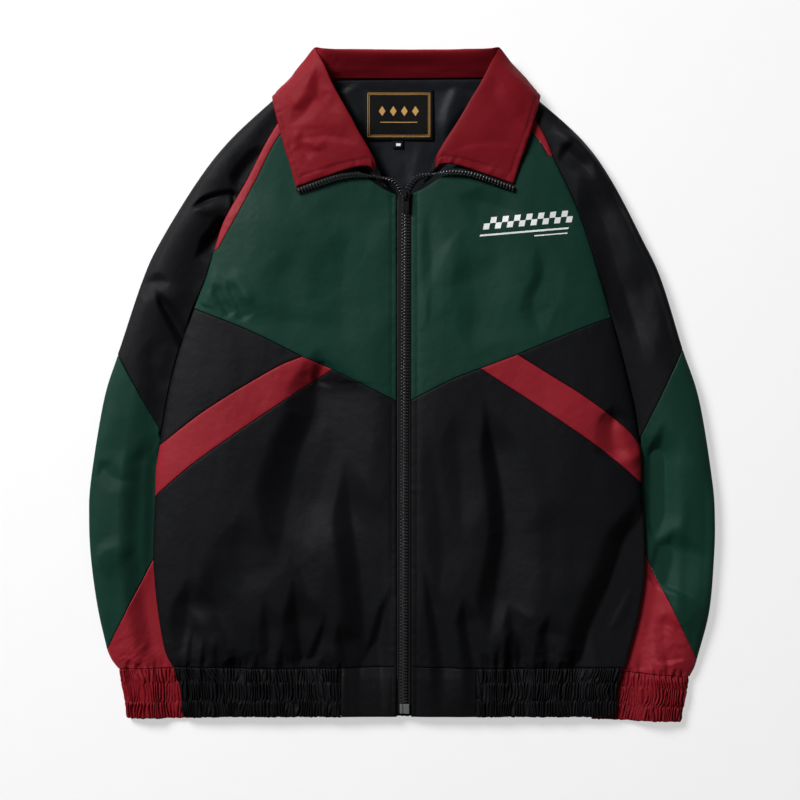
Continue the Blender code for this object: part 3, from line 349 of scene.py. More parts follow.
# Collar, left half, from its zipped end round to the middle of the back
COLLAR = (
    # seam, stand, roll, leaf 1, leaf 2, edge
    ((-14, 212, 17), (-27, 225, 19), (-34, 234, 26), (-53, 233, 26), (-82, 224, 24.5), (-114, 213, 22.5)),
    ((-23, 219, 16), (-27, 236, 21), (-38, 254, 29), (-62, 250, 28.5), (-92, 243, 26), (-120, 235, 22.5)),
    ((-49, 243, 16), (-48, 262, 21), (-52, 281, 30), (-74, 274, 30), (-100, 266, 27), (-127, 257, 22.5)),
    ((-75, 269, 16), (-66, 283, 21), (-63, 302, 30), (-84, 297, 30), (-108, 289, 27.5), (-133, 280, 22)),
    ((-98, 290, 16), (-82, 304, 21), (-74, 322, 30), (-93, 318, 30), (-115, 308, 27.5), (-138, 298, 20)),
    ((-111, 304, 15), (-94, 324, 20), (-84, 344, 29), (-99, 338, 28), (-117, 325, 25), (-140, 308, 16)),
    ((-111, 322, 13), (-98, 340, 17), (-93, 362, 22), (-108, 347, 15), (-124, 331, 11), (-140, 312, 8)),
    ((-99, 331, 9), (-88, 344, 16), (-83, 361, 26), (-96, 354, 8), (-112, 336, 4.0), (-130, 309, 1.3)),
    ((-76, 332, 8), (-63, 343, 16), (-57, 359, 26), (-58, 361, 13), (-62, 355, 4.2), (-70, 309, 1.3)),
    ((0, 332, 8), (0, 343, 16), (0, 358, 26), (0, 361, 13), (0, 355, 4.2), (0, 309, 1.3)),
)
COLLAR_MIDDLE_X = 3.0
COLLAR_LEAN = 2.5
COLLAR_RAISE = 3.5
COLLAR_FOOT_Y = 213.0
COLLAR_TALL = 150.0
COLLAR_ROWS = 16
COLLAR_COLUMNS = 18
COLLAR_STITCH = 7.0  # topstitching this far inside the collar's edges
COLLAR_WALL = 1.3
FACING = (34.0, 30.0)  # the zip tape's facing inside the collar: along it and across it
LEAST_RISE = 4.0  # the front stays this far above the underside of the back
ALLOWANCE = 5.0
ALLOWANCE_DROP = 2.0
HEM_TURN_IN = 3.0  # how far the hem's turned-in cloth runs on under the zip
LEAST_FLAT = 10.0  # the least side of a cut piece, with its turned-in edge

COLLAR_TAPE = (
    # chain, cloth
    ((1.5, 206, 17.5), (-4.0, 204, 17.5)),
    ((-3, 214, 19), (-7.5, 211, 18.5)),
    ((-10.5, 221, 21), (-13.5, 217.3, 20.5)),
    ((-23, 223.5, 21.5), (-26.5, 222.5, 21.5)),
    ((-44, 225, 23.3), (-46, 228.3, 24)),
    ((-66, 223, 24), (-67, 226.7, 24.5)),
    ((-91, 215, 23.2), (-92, 219.3, 23.6)),
    ((-113, 207, 22.3), (-114, 211.3, 22.6)),
)

LABEL_BOX = (-41, 34, 265, 320)  # left, right, bottom, top
SIZE_TAB_BOX = (-10, 2, 256, 265)
LINING_CORNERS = ((-104, 329), (108, 331), (125, 270), (100, 190), (0, 165), (-96, 190), (-120, 270))
LINING_WALL = 1.2
LINING_LIFT = 2 * SEAM_GAP + LINING_WALL  # height of the lining's face over the back
LABEL_LIFT = 2.2
LABEL_WALL = 0.5
LINING_SHEET = 0.6  # wall of the lining as it shows

TOOTH_PITCH = 3.4
TOOTH_HALF = (
    # across the chain from the tape towards its middle, half width along the chain
    (-4.0, 0.75),
    (-3.4, 0.95),
    (-1.0, 0.85),
    (-0.3, 0.6),
    (0.3, 0.95),
    (1.0, 0.95),
    (1.5, 0.5),
)
TOOTH_THICK = 2.4
TOOTH_BEVEL = 0.55
CHAIN_TEETH_TOP_Y = 184.0
CHAIN_TEETH_BOTTOM_Y = -343.0

PRINT_PLACE = (136.0, 178.0)  # middle of the printed strip
PRINT_TURN = math.radians(5)
PRINT_SLANT = 0.3
PRINT_CELL = 6.4
PRINT_COLUMNS = 15
PRINT_LIFT = 0.12
PRINT_BARS = (
    # left, right, bottom, top, from the strip's middle
    (-50, 46, -13.5, -11.6),
    (10, 46, -18.4, -17.2),
)

CAMERA_LENS = 90.0
SENSOR = 36.0
FRAME_WIDTH = 0.864  # metres across the frame, at the height of the folds
FRAME_HEIGHT_Z = 0.010
CAMERA_XY = (-0.0022, -0.0157)


# ---------- curves ----------


def smooth(points, per_span=12):
    """A smooth curve through the points, per_span steps from each to the next."""
    points = np.array(points, float)
    knots = np.vstack([2 * points[0] - points[1], points, 2 * points[-1] - points[-2]])
    share = (np.arange(per_span) / per_span)[:, None]
    square, cube = share**2, share**3
    spans = [
        start * (2 * cube - 3 * square + 1)
        + (end - before) / 2 * (cube - 2 * square + share)
        + end * (3 * square - 2 * cube)
        + (after - start) / 2 * (cube - square)
        for before, start, end, after in zip(knots, knots[1:], knots[2:], knots[3:])
    ]
    return np.vstack([*spans, points[-1:]])


def lengths(curve):
    return np.concatenate([[0.0], np.cumsum(np.linalg.norm(np.diff(curve, axis=0), axis=1))])


def resample(curve, count):
    """count points, evenly spaced along a curve."""
    along = lengths(curve)
    at = np.linspace(0, along[-1], count)
    return np.stack([np.interp(at, along, column) for column in curve.T], axis=1)


def spaced(curve, step):
    return resample(curve, max(2, round(lengths(curve)[-1] / step) + 1))


def curve_of(name, side, count=None):
    """A named curve of one side, or that many evenly spaced points along it."""
    points = smooth(CURVES[f"{name}_{side}" if side else name])
    return resample(points, count) if count else points


def seam(name, side="", step=EDGE_STEP):
    """The points of a named curve; a minus before its name runs it backwards."""
    points = spaced(curve_of(name.lstrip("-"), side), step)
    return points[::-1] if name.startswith("-") else points


def seams_of(names, side):
    """Several named curves as one."""
    return joined(*(seam(name, side) for name in names))


def joined(*curves):
    """Curves that follow one another, without doubled points."""
    parts = [curves[0]]
    for curve in curves[1:]:
        doubled = np.linalg.norm(parts[-1][-1] - curve[0]) < 1e-6
        parts.append(curve[1:] if doubled else curve)
    return np.vstack(parts)


def x_along(names):
    """For each side, the x of a chain of curves as a function of y, which falls along them."""
    found = {side: joined(*(curve_of(name, side) for name in names))[::-1] for side in SIDES}
    return lambda side, y: np.interp(y, found[side][:, 1], found[side][:, 0])


EDGE_X = x_along(("raglan", "armhole", "underarm", "side_wedge", "side_stripe", "side_lower", "hem_side"))
FOLD_X = x_along(("fold", "elbow", "wrist", "cuff"))
INNER_X = x_along(("inner", "inner_low", "cuff_inner"))


def both(function, x, y):
    """A function of side and y, at points on both sides."""
    return np.where(x < 0, function("L", y), function("R", y))


# ---------- heights ----------


def ramp(value, start, end):
    """0 at start, 1 at end, smooth between them."""
    share = np.clip((value - start) / (end - start), 0.0, 1.0)
    return share * share * (3 - 2 * share)


def hump(distance, width):
    """1 at no distance, falling off on both sides over about this width."""
    return np.exp(-((distance / width) ** 2))


def rounded(distance, reach):
    """A quarter of an ellipse: 0 at an edge, 1 from reach on."""
    left = 1 - np.clip(distance / reach, 0.0, 1.0)
    return np.sqrt(1 - left * left)


def softened_heights():
    """The columns of HEIGHTS, run together where they bend."""
    table = np.array(HEIGHTS, float)[::-1]
    y = np.arange(-460.0, 430.0, HEIGHT_STEP)
    bell = hump(np.arange(-HEIGHT_REACH, HEIGHT_REACH + 1) * HEIGHT_STEP, HEIGHT_SOFTNESS)
    bell /= bell.sum()
    columns = {}
    for index, name in enumerate(("front", "edge", "crest", "fold"), 1):
        plain = np.interp(y, table[:, 0], table[:, index])
        padded = np.pad(plain, HEIGHT_REACH, mode="edge")
        columns[name] = np.convolve(padded, bell, mode="valid")
    return y, columns


HEIGHT_Y, HEIGHT_COLUMNS = softened_heights()


def height(column, y):
    return np.interp(y, HEIGHT_Y, HEIGHT_COLUMNS[column])


def noise(x, y, seed):
    """Smooth noise from -1 to 1, its bumps about one unit wide."""
    table = np.random.default_rng(seed).uniform(-1, 1, (NOISE_TABLE, NOISE_TABLE))
    column, row = np.floor(x).astype(int), np.floor(y).astype(int)
    u, v = x - column, y - row
    u, v = u * u * (3 - 2 * u), v * v * (3 - 2 * v)

    def at(right, up):
        return table[(row + up) % NOISE_TABLE, (column + right) % NOISE_TABLE]

    low = at(0, 0) * (1 - u) + at(1, 0) * u
    high = at(0, 1) * (1 - u) + at(1, 1) * u
    return low * (1 - v) + high * v


def crumpled(x, y, size, seed):
    """Small sharp creases: the crests of several noises, turned against each other."""
    total = np.zeros_like(x)
    for octave in range(3):
        turn = 0.6 + 1.1 * octave + seed
        scale = size / OCTAVE**octave
        along = (x * math.cos(turn) + y * math.sin(turn)) / scale
        across = (y * math.cos(turn) - x * math.sin(turn)) / scale
        total += (0.5 - np.abs(noise(along * 0.7, across, 71 + 13 * octave + seed))) / OCTAVE**octave
    return total


def along_line(line, x, y):
    """For each point: how far along a line its nearest point is, as a share, and where it is from there."""
    best = np.full(x.shape, np.inf)
    share, off_x, off_y = np.zeros_like(x), np.zeros_like(x), np.zeros_like(x)
    count = len(line) - 1
    for index in range(count):
        start, step = line[index], line[index + 1] - line[index]
        at = np.clip(((x - start[0]) * step[0] + (y - start[1]) * step[1]) / (step @ step), 0, 1)
        away_x, away_y = x - start[0] - at * step[0], y - start[1] - at * step[1]
        distance = away_x**2 + away_y**2
        nearer = distance < best
        best = np.where(nearer, distance, best)
        share = np.where(nearer, (index + at) / count, share)
        off_x, off_y = np.where(nearer, away_x, off_x), np.where(nearer, away_y, off_y)
    return share, off_x, off_y


def folded(table, x, y):
    """Height that a table of folds adds. A fold is narrow on the light's side and runs out on the other."""
    total = np.zeros_like(x)
    for points, start_width, end_width, depth, fade_in, fade_out in table:
        line = resample(smooth(points), FOLD_POINTS)
        if depth < 0:
            line = line - LIGHT_FROM * VALLEY_SHIFT * (start_width + end_width) / 2
        reach = FOLD_REACH * (1 + RUN_OUT) * max(start_width, end_width)
        low, high = line.min(0) - reach, line.max(0) + reach
        near = (x > low[0]) & (x < high[0]) & (y > low[1]) & (y < high[1])
        if not near.any():
            continue
        share, off_x, off_y = along_line(line, x[near], y[near])
        away = np.maximum(np.hypot(off_x, off_y), 1e-6)
        toward = (off_x * LIGHT_FROM[0] + off_y * LIGHT_FROM[1]) / away
        taper = np.ones_like(share)
        if fade_in:
            taper *= ramp(share, 0, fade_in)
        if fade_out:
            taper *= ramp(1 - share, 0, fade_out)
        width = (start_width + (end_width - start_width) * share) * (1 + RUN_OUT * (1 - toward) / 2)
        width *= TIP_WIDTH + (1 - TIP_WIDTH) * taper
        soft = VALLEY_SOFT if depth < 0 else RIDGE_SOFT
        slope = 1 - np.hypot(away / width, soft) + soft
        bell = (slope + np.hypot(slope, soft)) / 2
        total[near] += FOLD_STRENGTH * depth * bell * taper
    return total


def gathers(start, end, up, seed, family):
    """Folds that fan out from a gathered seam: start and end are its ends, up the way they run."""
    pitch, length, widths, depths = family
    random = np.random.default_rng(seed)
    start, end, up = (np.array(point, float) for point in (start, end, up))
    long = np.linalg.norm(end - start)
    along = (end - start) / long
    at = random.uniform(*pitch)
    found = []
    while at < long - pitch[0] / 2:
        reach = length[0] + (length[1] - length[0]) * random.random() ** 2
        width = random.uniform(*widths)
        foot = start + along * at
        bend = along * random.normal(0, 0.13) * reach
        middle = foot + up * reach * 0.5 + bend * 0.3
        tip = foot + up * reach + bend
        found.append(((foot, middle, tip), width, width * GATHER_SPREAD, -random.uniform(*depths), 0, 0.9))
        at += random.uniform(*pitch)
    return found


def unevenness(x, y, seed):
    """Soft unevenness all over, and patches of small creases."""
    size, tall = EVERYWHERE
    total = tall * (noise(x / size, y / (size * 2.4), seed) + 0.5 * noise(x * 2 / size, y / size, seed + 1))
    size, tall = EVERYWHERE_FINE
    total += tall * crumpled(x, y, size, seed + 2)
    for number, (at_x, at_y, reach_x, reach_y, size, tall) in enumerate(CRUMPLES):
        near = np.exp(-(((x - at_x) / reach_x) ** 2) - ((y - at_y) / reach_y) ** 2)
        if near.max() > 0.02:
            total += tall * near * crumpled(x, y, size, seed + 3 + number)
    return total


def chain_x(y):
    share = (y - ZIP_BOTTOM_Y) / (ZIP_TOP_Y - ZIP_BOTTOM_Y)
    return CHAIN_BOTTOM_X + (CHAIN_TOP_X - CHAIN_BOTTOM_X) * share


HEM_GATHERS = [
    fold
    for number, family in enumerate((FINE_GATHERS, BROAD_GATHERS))
    for fold in (
        *gathers((-246, -305), (-66, -306), (0.02, 1), 11 + number, family),
        *gathers((80, -306), (238, -305), (-0.02, 1), 15 + number, family),
    )
]


def front_plain(x, y):
    """Upper face of the front without its folds."""
    edge, middle = height("edge", y), height("front", y)
    inside = np.abs(both(EDGE_X, x, y)) - np.abs(x)
    dip = ZIP_DIP * np.exp(-((x - CHAIN_TOP_X) ** 2) / ZIP_DIP_WIDTH**2)
    return edge + (middle - edge) * rounded(inside, EDGE_REACH) - dip


def front_top(x, y):
    free = ramp(np.abs(x - chain_x(y)), *ZIP_FREE)
    folds = folded(FRONT_FOLDS, x, y) + folded(HEM_GATHERS, x, y) + unevenness(x, y, 5)
    return np.maximum(front_plain(x, y) + folds * free, underside(x, y) + LEAST_RISE)


def underside(x, y):
    """Underside of the back: flat, but raised over the sleeves and over the collar's leaf."""
    inner = np.abs(both(INNER_X, x, y))
    outwards = ramp(np.abs(x), inner - LAP_RAMP[1], inner - LAP_RAMP[0])
    below_underarm = ramp(-y, -LAP_TOP_Y, -LAP_FULL_Y)
    return LAP_LIFT * outwards * below_underarm + LEAF_LIFT * ramp(y, LEAF_END_Y, LEAF_TOP_Y)


def back_top(x, y):
    return underside(x, y) + WALL


def sleeve_top(side, x, y, seed=7):
    """Upper face of a sleeve: rounded at its fold, highest at the crest, low at the body's edge."""
    fold = height("fold", y)
    width = np.maximum(np.abs(EDGE_X(side, y) - FOLD_X(side, y)), LEAST_SLEEVE)
    share = np.abs(x - FOLD_X(side, y)) / width
    crest = fold + (height("crest", y) - fold) * rounded(share, CREST_SHARE)
    pressed = ramp(-y, -LAP_TOP_Y, -LAP_FULL_Y)
    low = height("edge", y) * (1 - pressed) + LAP_HEIGHT * pressed
    plain = crest + (low - crest) * ramp(share, CREST_SHARE, 1.0 - PRESSED_SHARE * pressed)
    folds = folded(SLEEVE_FOLDS, x, y) + folded(CUFF_GATHERS, x, y) + unevenness(x, y, seed)
    free = ramp(share, 0.0, 0.16) * (1 - ramp(share, 0.8, 1.0) * pressed)
    return np.maximum(plain + folds * free, LEAST_SLEEVE_TOP)


def sleeve_bottom(side, x, y):
    """Lower face of a sleeve: flat, but rounded up to its outer fold."""
    under_fold = 1 - rounded(np.abs(x - FOLD_X(side, y)), FOLD_UNDER)
    over_leaf = LEAF_LIFT * ramp(y, LEAF_END_Y, LEAF_TOP_Y)
    return over_leaf + (height("fold", y) - over_leaf) * under_fold


CUFF_GATHERS = [
    *gathers((-306, -306), (-244, -306), (0.05, 1), 21, FINE_GATHERS),
    *gathers((240, -309), (309, -315), (0.05, 1), 22, FINE_GATHERS),
]


# ---------- meshes ----------


def new_object(name, mesh, material, body=BODY):
    mesh.materials.append(material)
    made = bpy.data.objects.new(name, mesh)
    bpy.context.scene.collection.objects.link(made)
    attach(made, body)
    return made


def add_piece(name, mesh, material):
    """A piece that stands for no CAD node, made of a slot's material."""
    new_object(name, mesh, MATERIALS[material])


def mesh_from(name, points, faces, uvs=None):
    """A smooth-shaded mesh from points in millimetres; uvs are in metres, one for each face corner."""
    mesh = bpy.data.meshes.new(name)
    mesh.from_pydata((np.asarray(points, float) * MM).tolist(), [], np.asarray(faces).tolist())
    if uvs is not None:
        layer = mesh.uv_layers.new(name="cloth")
        layer.data.foreach_set("uv", np.asarray(uvs, np.float32).ravel())
    mesh.shade_smooth()
    return mesh


def cloth(node, mesh, slot, wall, flat, area=None):
    """A cloth piece that stands for a CAD node, thickened inwards."""
    # A rib takes a darker copy of its cloth: painted shade between its ruffles.
    material = PAINTED_SHADE_COPIES.get(slot, slot) if wall == RIB_WALL else slot
    made = new_object(f"cloth_{node}", mesh, MATERIALS[material])
    thick = made.modifiers.new("wall", "SOLIDIFY")
    thick.thickness = wall * MM
    thick.offset = -1.0
    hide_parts(node)
    width, length = (value * MM for value in flat)
    area = width * length if area is None else min(area * MM * MM, width * length)
    return made


def net_cloth(node, net, closed, top_columns, slot, sizes, wall=CLOTH_WALL, cut=(1, 1)):
    """A cloth piece from a net; its flat piece is cut times as wide and long as sizes."""
    mesh = net_mesh(node, net, closed, top_columns)
    return cloth(node, mesh, slot, wall, (sizes[0][0, -1] * cut[0], sizes[1][-1, 0] * cut[1]))


def area_of(outline):
    following = np.roll(outline, -1, axis=0)
    return (outline[:, 0] * following[:, 1] - following[:, 0] * outline[:, 1]).sum() / 2


def turned_by(turn):
    return np.array([[math.cos(turn), math.sin(turn)], [-math.sin(turn), math.cos(turn)]])


def cut_size(outline):
    """Sides of the smallest rectangle that a piece can be cut from."""
    sizes = []
    for turn in np.radians(range(0, 90, 3)):
        turned = outline @ turned_by(turn)
        sizes.append(np.maximum(turned.max(0) - turned.min(0), LEAST_FLAT))
    return min(sizes, key=lambda size: size[0] * size[1])


def inset(outline, distance):
    """The closed outline, counter-clockwise, moved inwards by a distance."""
    before = outline - np.roll(outline, 1, axis=0)
    after = np.roll(outline, -1, axis=0) - outline
    normals = []
    for step in (before, after):
        step = step / np.maximum(np.linalg.norm(step, axis=1, keepdims=True), 1e-9)
        normals.append(np.stack([-step[:, 1], step[:, 0]], axis=1))
    middle = normals[0] + normals[1]
    middle /= np.maximum(np.linalg.norm(middle, axis=1, keepdims=True), 1e-9)
    cosine = np.maximum((middle * normals[0]).sum(1, keepdims=True), 0.35)
    return outline + middle * (distance / cosine)


def nearest(outline, points):
    """Distance of each point to a closed outline, minus outside it, and its nearest point's way round."""
    following = np.roll(outline, -1, axis=0)
    step = following - outline
    long = np.maximum(np.linalg.norm(step, axis=1), 1e-9)
    starts = np.concatenate([[0.0], np.cumsum(long)[:-1]])
    distances, rounds = [], []
    for chunk in np.array_split(points, max(1, len(points) // 2000)):
        away = chunk[:, None, :] - outline[None]
        at = np.clip((away * step).sum(2) / long**2, 0, 1)
        off = np.linalg.norm(away - at[:, :, None] * step, axis=2)
        index = off.argmin(1)
        rows = np.arange(len(chunk))
        px, py = chunk[:, 0:1], chunk[:, 1:2]
        crosses = (outline[:, 1] > py) != (following[:, 1] > py)
        slope = step[:, 0] / np.where(step[:, 1] == 0, 1e-12, step[:, 1])
        left = px < outline[:, 0] + slope * (py - outline[:, 1])
        inside = (crosses & left).sum(1) % 2 == 1
        distances.append(np.where(inside, 1, -1) * off[rows, index])
        rounds.append(starts[index] + at[rows, index] * long[index])
    return np.concatenate(distances), np.concatenate(rounds)


def closed_outline(parts, step=EDGE_STEP):
    """One counter-clockwise outline through the parts, with points along its straight gaps."""
    points = joined(*parts)
    if np.linalg.norm(points[0] - points[-1]) < 1e-6:
        points = points[:-1]
    if area_of(points) < 0:
        points = points[::-1]
    filled = []
    for start, end in zip(points, np.roll(points, -1, axis=0)):
        count = max(1, round(np.linalg.norm(end - start) / step))
        filled.extend(start + (end - start) * index / count for index in range(count))
    return np.array(filled)


def filled(outline, step, rings, extra):
    """Points and triangles that fill an outline: rings inside it, chosen points, and a staggered grid."""
    row_height = step * math.sqrt(3) / 2
    low, high = outline.min(0), outline.max(0)
    last_ring = rings[-1] if rings else 0
    row_count = int((high[1] - low[1]) / row_height) + 1
    rows, columns = np.mgrid[0:row_count, 0 : int((high[0] - low[0]) / step) + 2]
    grid = np.stack([low[0] + (columns - 0.5 * (rows % 2)) * step, low[1] + rows * row_height], axis=2)
    grid = grid.reshape(-1, 2)
    grid = grid[nearest(outline, grid)[0] > last_ring + 0.5 * step]
    chosen = []
    for ring in rings:
        points = inset(outline, ring)
        chosen.append(points[nearest(outline, points)[0] > 0.85 * ring])
    if len(extra):
        extra = np.array(extra)
        extra = extra[nearest(outline, extra)[0] > last_ring + 0.5]
        if len(extra):
            cells = {(int(x // 2), int(y // 2)) for x, y in extra}
            near = {(i + di, j + dj) for i, j in cells for di in (-1, 0, 1) for dj in (-1, 0, 1)}
            grid = grid[[(int(x // 2), int(y // 2)) not in near for x, y in grid]]
            chosen.append(extra)
    everything = np.vstack([outline, *chosen, grid])
    ring = [(index, (index + 1) % len(outline)) for index in range(len(outline))]
    points, _, faces, *_ = delaunay_2d_cdt([Vector(point) for point in everything], ring, [], 1, 1e-4)
    return np.array([tuple(point) for point in points]), np.array(faces)


def seam_shape(outline, points, seed):
    """What a seam does to the cloth beside it: it lies lower, with small uneven puckers."""
    inside, round_it = nearest(outline, points)
    inside = np.maximum(inside, 0)
    dip = SEAM_DIP * hump(inside, SEAM_DIP_WIDTH)
    total = round(lengths(np.vstack([outline, outline[:1]]))[-1])
    wave = noise(round_it / PUCKER_PITCH, np.full(len(points), total % 17 + 0.5), seed)
    strength = 0.55 + 0.45 * noise(round_it / 60, np.full(len(points), 0.5), seed + 1)
    reach = np.exp(-inside / PUCKER_REACH) * (1 - hump(inside, 1.5) * 0.6)
    return -dip + PUCKER * 2 * wave * strength * reach


def panel(node, parts, top, slot, wall=CLOTH_WALL, step=CLOTH_STEP, extra=(), rings=EDGE_RINGS, seams=True):
    """A cloth panel that fills an outline at the heights that top gives."""
    outline = inset(closed_outline(parts), SEAM_GAP / 2)
    points, faces = filled(outline, step, rings, extra)
    tall = top(points[:, 0], points[:, 1])
    if seams:
        tall = tall + seam_shape(outline, points, len(node))
    a, b, c = (points[faces[:, index]] for index in range(3))
    flipped = ((b - a)[:, 0] * (c - a)[:, 1] - (b - a)[:, 1] * (c - a)[:, 0]) < 0
    faces[flipped] = faces[flipped][:, ::-1]
    mesh = mesh_from(node, np.column_stack([points, tall]), faces, points[faces] * MM)
    return cloth(node, mesh, slot, wall, cut_size(outline), abs(area_of(outline)))


def net_lengths(net):
    """How far each column of a net is from its first, with the closing span last, and each row."""
    closing = np.concatenate([net, net[:, :1]], axis=1)
    across = np.linalg.norm(np.diff(closing, axis=1), axis=2).mean(0)
    down = np.linalg.norm(np.diff(net, axis=0), axis=2).mean(1)
    return [np.concatenate([[0.0], np.cumsum(spans)]) for spans in (across, down)]


def net_mesh(name, net, closed, top_columns):
    """A quad mesh from a net of points. top_columns are columns whose faces look up."""
    rows, columns = net.shape[:2]
    spans = columns if closed else columns - 1
    row, column = np.mgrid[0 : rows - 1, 0:spans]
    after = (column + 1) % columns
    start, below = row * columns, (row + 1) * columns
    faces = np.stack([start + column, start + after, below + after, below + column], axis=2)
    u, v = net_lengths(net)
    corners = ((0, 0), (1, 0), (1, 1), (0, 1))
    uv = np.stack([np.stack([u[column + i], v[row + j]], axis=2) for i, j in corners], axis=2)
    points = net.reshape(-1, 3)
    looked = faces[:, top_columns].reshape(-1, 4)
    a, b, d = points[looked[:, 0]], points[looked[:, 1]], points[looked[:, 3]]
    if np.cross(b - a, d - a)[:, 2].sum() < 0:
        faces, uv = faces[:, :, ::-1], uv[:, :, ::-1]
    return mesh_from(name, points, faces.reshape(-1, 4), uv.reshape(-1, 4, 2) * MM)


def net_normals(net, closed, top_columns):
    """Unit normals of a net, turned so that top_columns look up."""
    if closed:
        wide = np.concatenate([net[:, -1:], net, net[:, :1]], axis=1)
        across = (wide[:, 2:] - wide[:, :-2]) / 2
    else:
        across = np.gradient(net, axis=1)
    down = np.gradient(net, axis=0)
    normals = np.cross(across, down)
    normals /= np.maximum(np.linalg.norm(normals, axis=2, keepdims=True), 1e-9)
    if normals[:, top_columns, 2].sum() < 0:
        normals = -normals
    return normals


def net_sizes(net):
    """Distances across and down a net, in millimetres, as two arrays of its shape."""
    u, v = net_lengths(net)
    return np.broadcast_to(u[:-1], net.shape[:2]), np.broadcast_to(v[:, None], net.shape[:2])


# ---------- sleeves ----------

ARC = np.radians((0, 22, 45, 68))
TUCK = 6.0
TUCK_START = (2.0, 14.0)
TUCK_END = (84.0, 110.0)
CROWD = 1.6  # points crowd towards the outer fold by this power
UPPER_ROWS = 170
UPPER_POINTS = (62, 12)  # spans across the front and the back of the upper sleeve
LOWER_POINTS = (60, 14)  # the same below it
CUFF_ROWS = 38
CUFF_POINTS = (150, 100)
SLEEVE_SEED = {"L": 7, "R": 8}
CUFF_SEED = {"L": 51, "R": 61}
SLEEVE_UP = slice(6, 24)  # columns of a tube that surely look up
CUFF_UP = slice(10, 60)


def sleeve_net(side, lines, closed, counts):
    """The outer face of a stretch of sleeve, row by row, from its front round the outer fold to its back."""
    steps = np.linspace(1, 0, counts[0] + 1) ** CROWD
    back_steps = np.linspace(0, 1, counts[1] + 1)[1:] ** CROWD
    rows = []
    seed = SLEEVE_SEED[side]
    for fold, front, back in zip(*lines):
        front_line, back_line = front - fold, back - fold
        long = np.linalg.norm(front_line)
        inner_share = 1.0
        if closed:
            ends = fold + front_line
            low = sleeve_bottom(side, ends[0:1], ends[1:2])[0]
            high = float(sleeve_top(side, ends[0:1], ends[1:2], seed)[0])
            reach = (high - low) / 2
            inner_share = 1 - reach / long
        front_points = fold + front_line * (steps * inner_share)[:, None]
        back_points = fold + back_line * (back_steps * inner_share)[:, None]
        front_up = sleeve_top(side, front_points[:, 0], front_points[:, 1], seed)
        back_up = sleeve_bottom(side, back_points[:, 0], back_points[:, 1])
        front_up[-1] = height("fold", fold[1])
        row = [np.column_stack([front_points, front_up]), np.column_stack([back_points, back_up])]
        if closed:
            middle = (high + low) / 2
            direction = front_line / long

            def arc(turns, sign):
                points = []
                for turn in turns:
                    plan = fold + direction * (long - reach * (1 - math.cos(turn)))
                    points.append([*plan, middle + sign * reach * math.sin(turn)])
                return np.array(points)

            row = [arc(ARC, 1), *row, arc(ARC[:0:-1], -1)]
        rows.append(np.vstack(row))
    return np.array(rows)


def tucked(side, inners):
    """The inner fold, drawn in under the body's edge where the sleeve leaves it."""
    along = lengths(inners)
    share = ramp(along, *TUCK_START) * (1 - ramp(-inners[:, 1], *TUCK_END))
    if inners[0, 1] < -TUCK_END[0]:
        share = 0 * share
    return inners - np.stack([SIGN[side] * TUCK * share, 0 * share], axis=1)


def moved_ends(rows, step=SEAM_GAP / 2):
    """Rows (fold, front, back) with the first and last moved in by half a seam gap."""
    folds, fronts, backs = (np.array(line) for line in rows)
    for index, other in ((0, 1), (-1, -2)):
        along = (folds[other] + fronts[other] - folds[index] - fronts[index]) / 2
        shift = along / max(np.linalg.norm(along), 1e-9) * step
        for line in (folds, fronts, backs):
            line[index] = line[index] + shift
    return folds, fronts, backs


def end_dip(net, seed):
    """A seam at both ends of a tube: it lies lower, with puckers."""
    across, down = net_sizes(net)
    total = down[-1, 0]
    inside = np.minimum(down, total - down)
    dip = SEAM_DIP * hump(inside, SEAM_DIP_WIDTH)
    wave = noise(across / PUCKER_PITCH, np.where(down < total / 2, 0.5, 9.5), seed)
    return -dip + PUCKER * 1.6 * wave * np.exp(-inside / PUCKER_REACH)


BESIDE_SHIRRING = 0.03  # the ruffles change over at a row of stitching within this share of the band
SHIRRING_WIDTH = 0.022
BAND_END = 0.03


def ruffles(across, share, seed):
    """Upright gathers of an elastic band, broken at its rows of stitching."""
    strip = sum(ramp(share, row - BESIDE_SHIRRING, row + BESIDE_SHIRRING) for row in SHIRRING)
    phase = across / RUFFLE_PITCH + 1.1 * noise(across / 15, share * 2.2 + 2 * strip, seed)
    phase += 0.5 * noise(across / 4, share * 4 + 5 * strip, seed + 1)
    tall = np.abs(np.sin(np.pi * phase)) - 0.6
    tall *= 0.75 + 0.6 * noise(across / 5, share * 3 + 5 * strip, seed + 2)
    pinch = sum(hump(share - row, SHIRRING_WIDTH) for row in SHIRRING)
    ends = hump(share, BAND_END) + hump(1 - share, BAND_END)
    return RUFFLE * tall * (1 - 0.3 * pinch) * (1 - 0.4 * ends) - 0.12 * pinch - 0.3 * ends


STRETCHES = (
    # name, outer fold, inner fold, rows, material
    ("sleeve_middle", "elbow", "inner", 150, "green_cloth"),
    ("sleeve_lower", "wrist", "inner_low", 90, "red_cloth"),
)


def seamed(net, closed, top_columns, seed):
    """A stretch of sleeve with its two seams pressed in."""
    return net + net_normals(net, closed, top_columns) * end_dip(net, seed)[:, :, None]


def build_sleeve(side):
    front_seam = seams_of(("raglan", "armhole", "underarm"), side)
    clear = (SIGN[side] * SEAM_GAP, 0)
    rows = (
        curve_of("fold", side, UPPER_ROWS),
        resample(front_seam, UPPER_ROWS) + clear,
        curve_of("back_raglan", side, UPPER_ROWS) + clear,
    )
    up = slice(0, 20)
    net = seamed(sleeve_net(side, moved_ends(rows), False, UPPER_POINTS), False, up, 31)
    net_cloth(f"sleeve_upper_{side}", net, False, up, "black_cloth", net_sizes(net))
    for name, outer, inner, count, slot in STRETCHES:
        inners = tucked(side, curve_of(inner, side, count))
        rows = moved_ends((curve_of(outer, side, count), inners, inners))
        net = seamed(sleeve_net(side, rows, True, LOWER_POINTS), True, SLEEVE_UP, 41)
        net_cloth(f"{name}_{side}", net, True, SLEEVE_UP, slot, net_sizes(net))


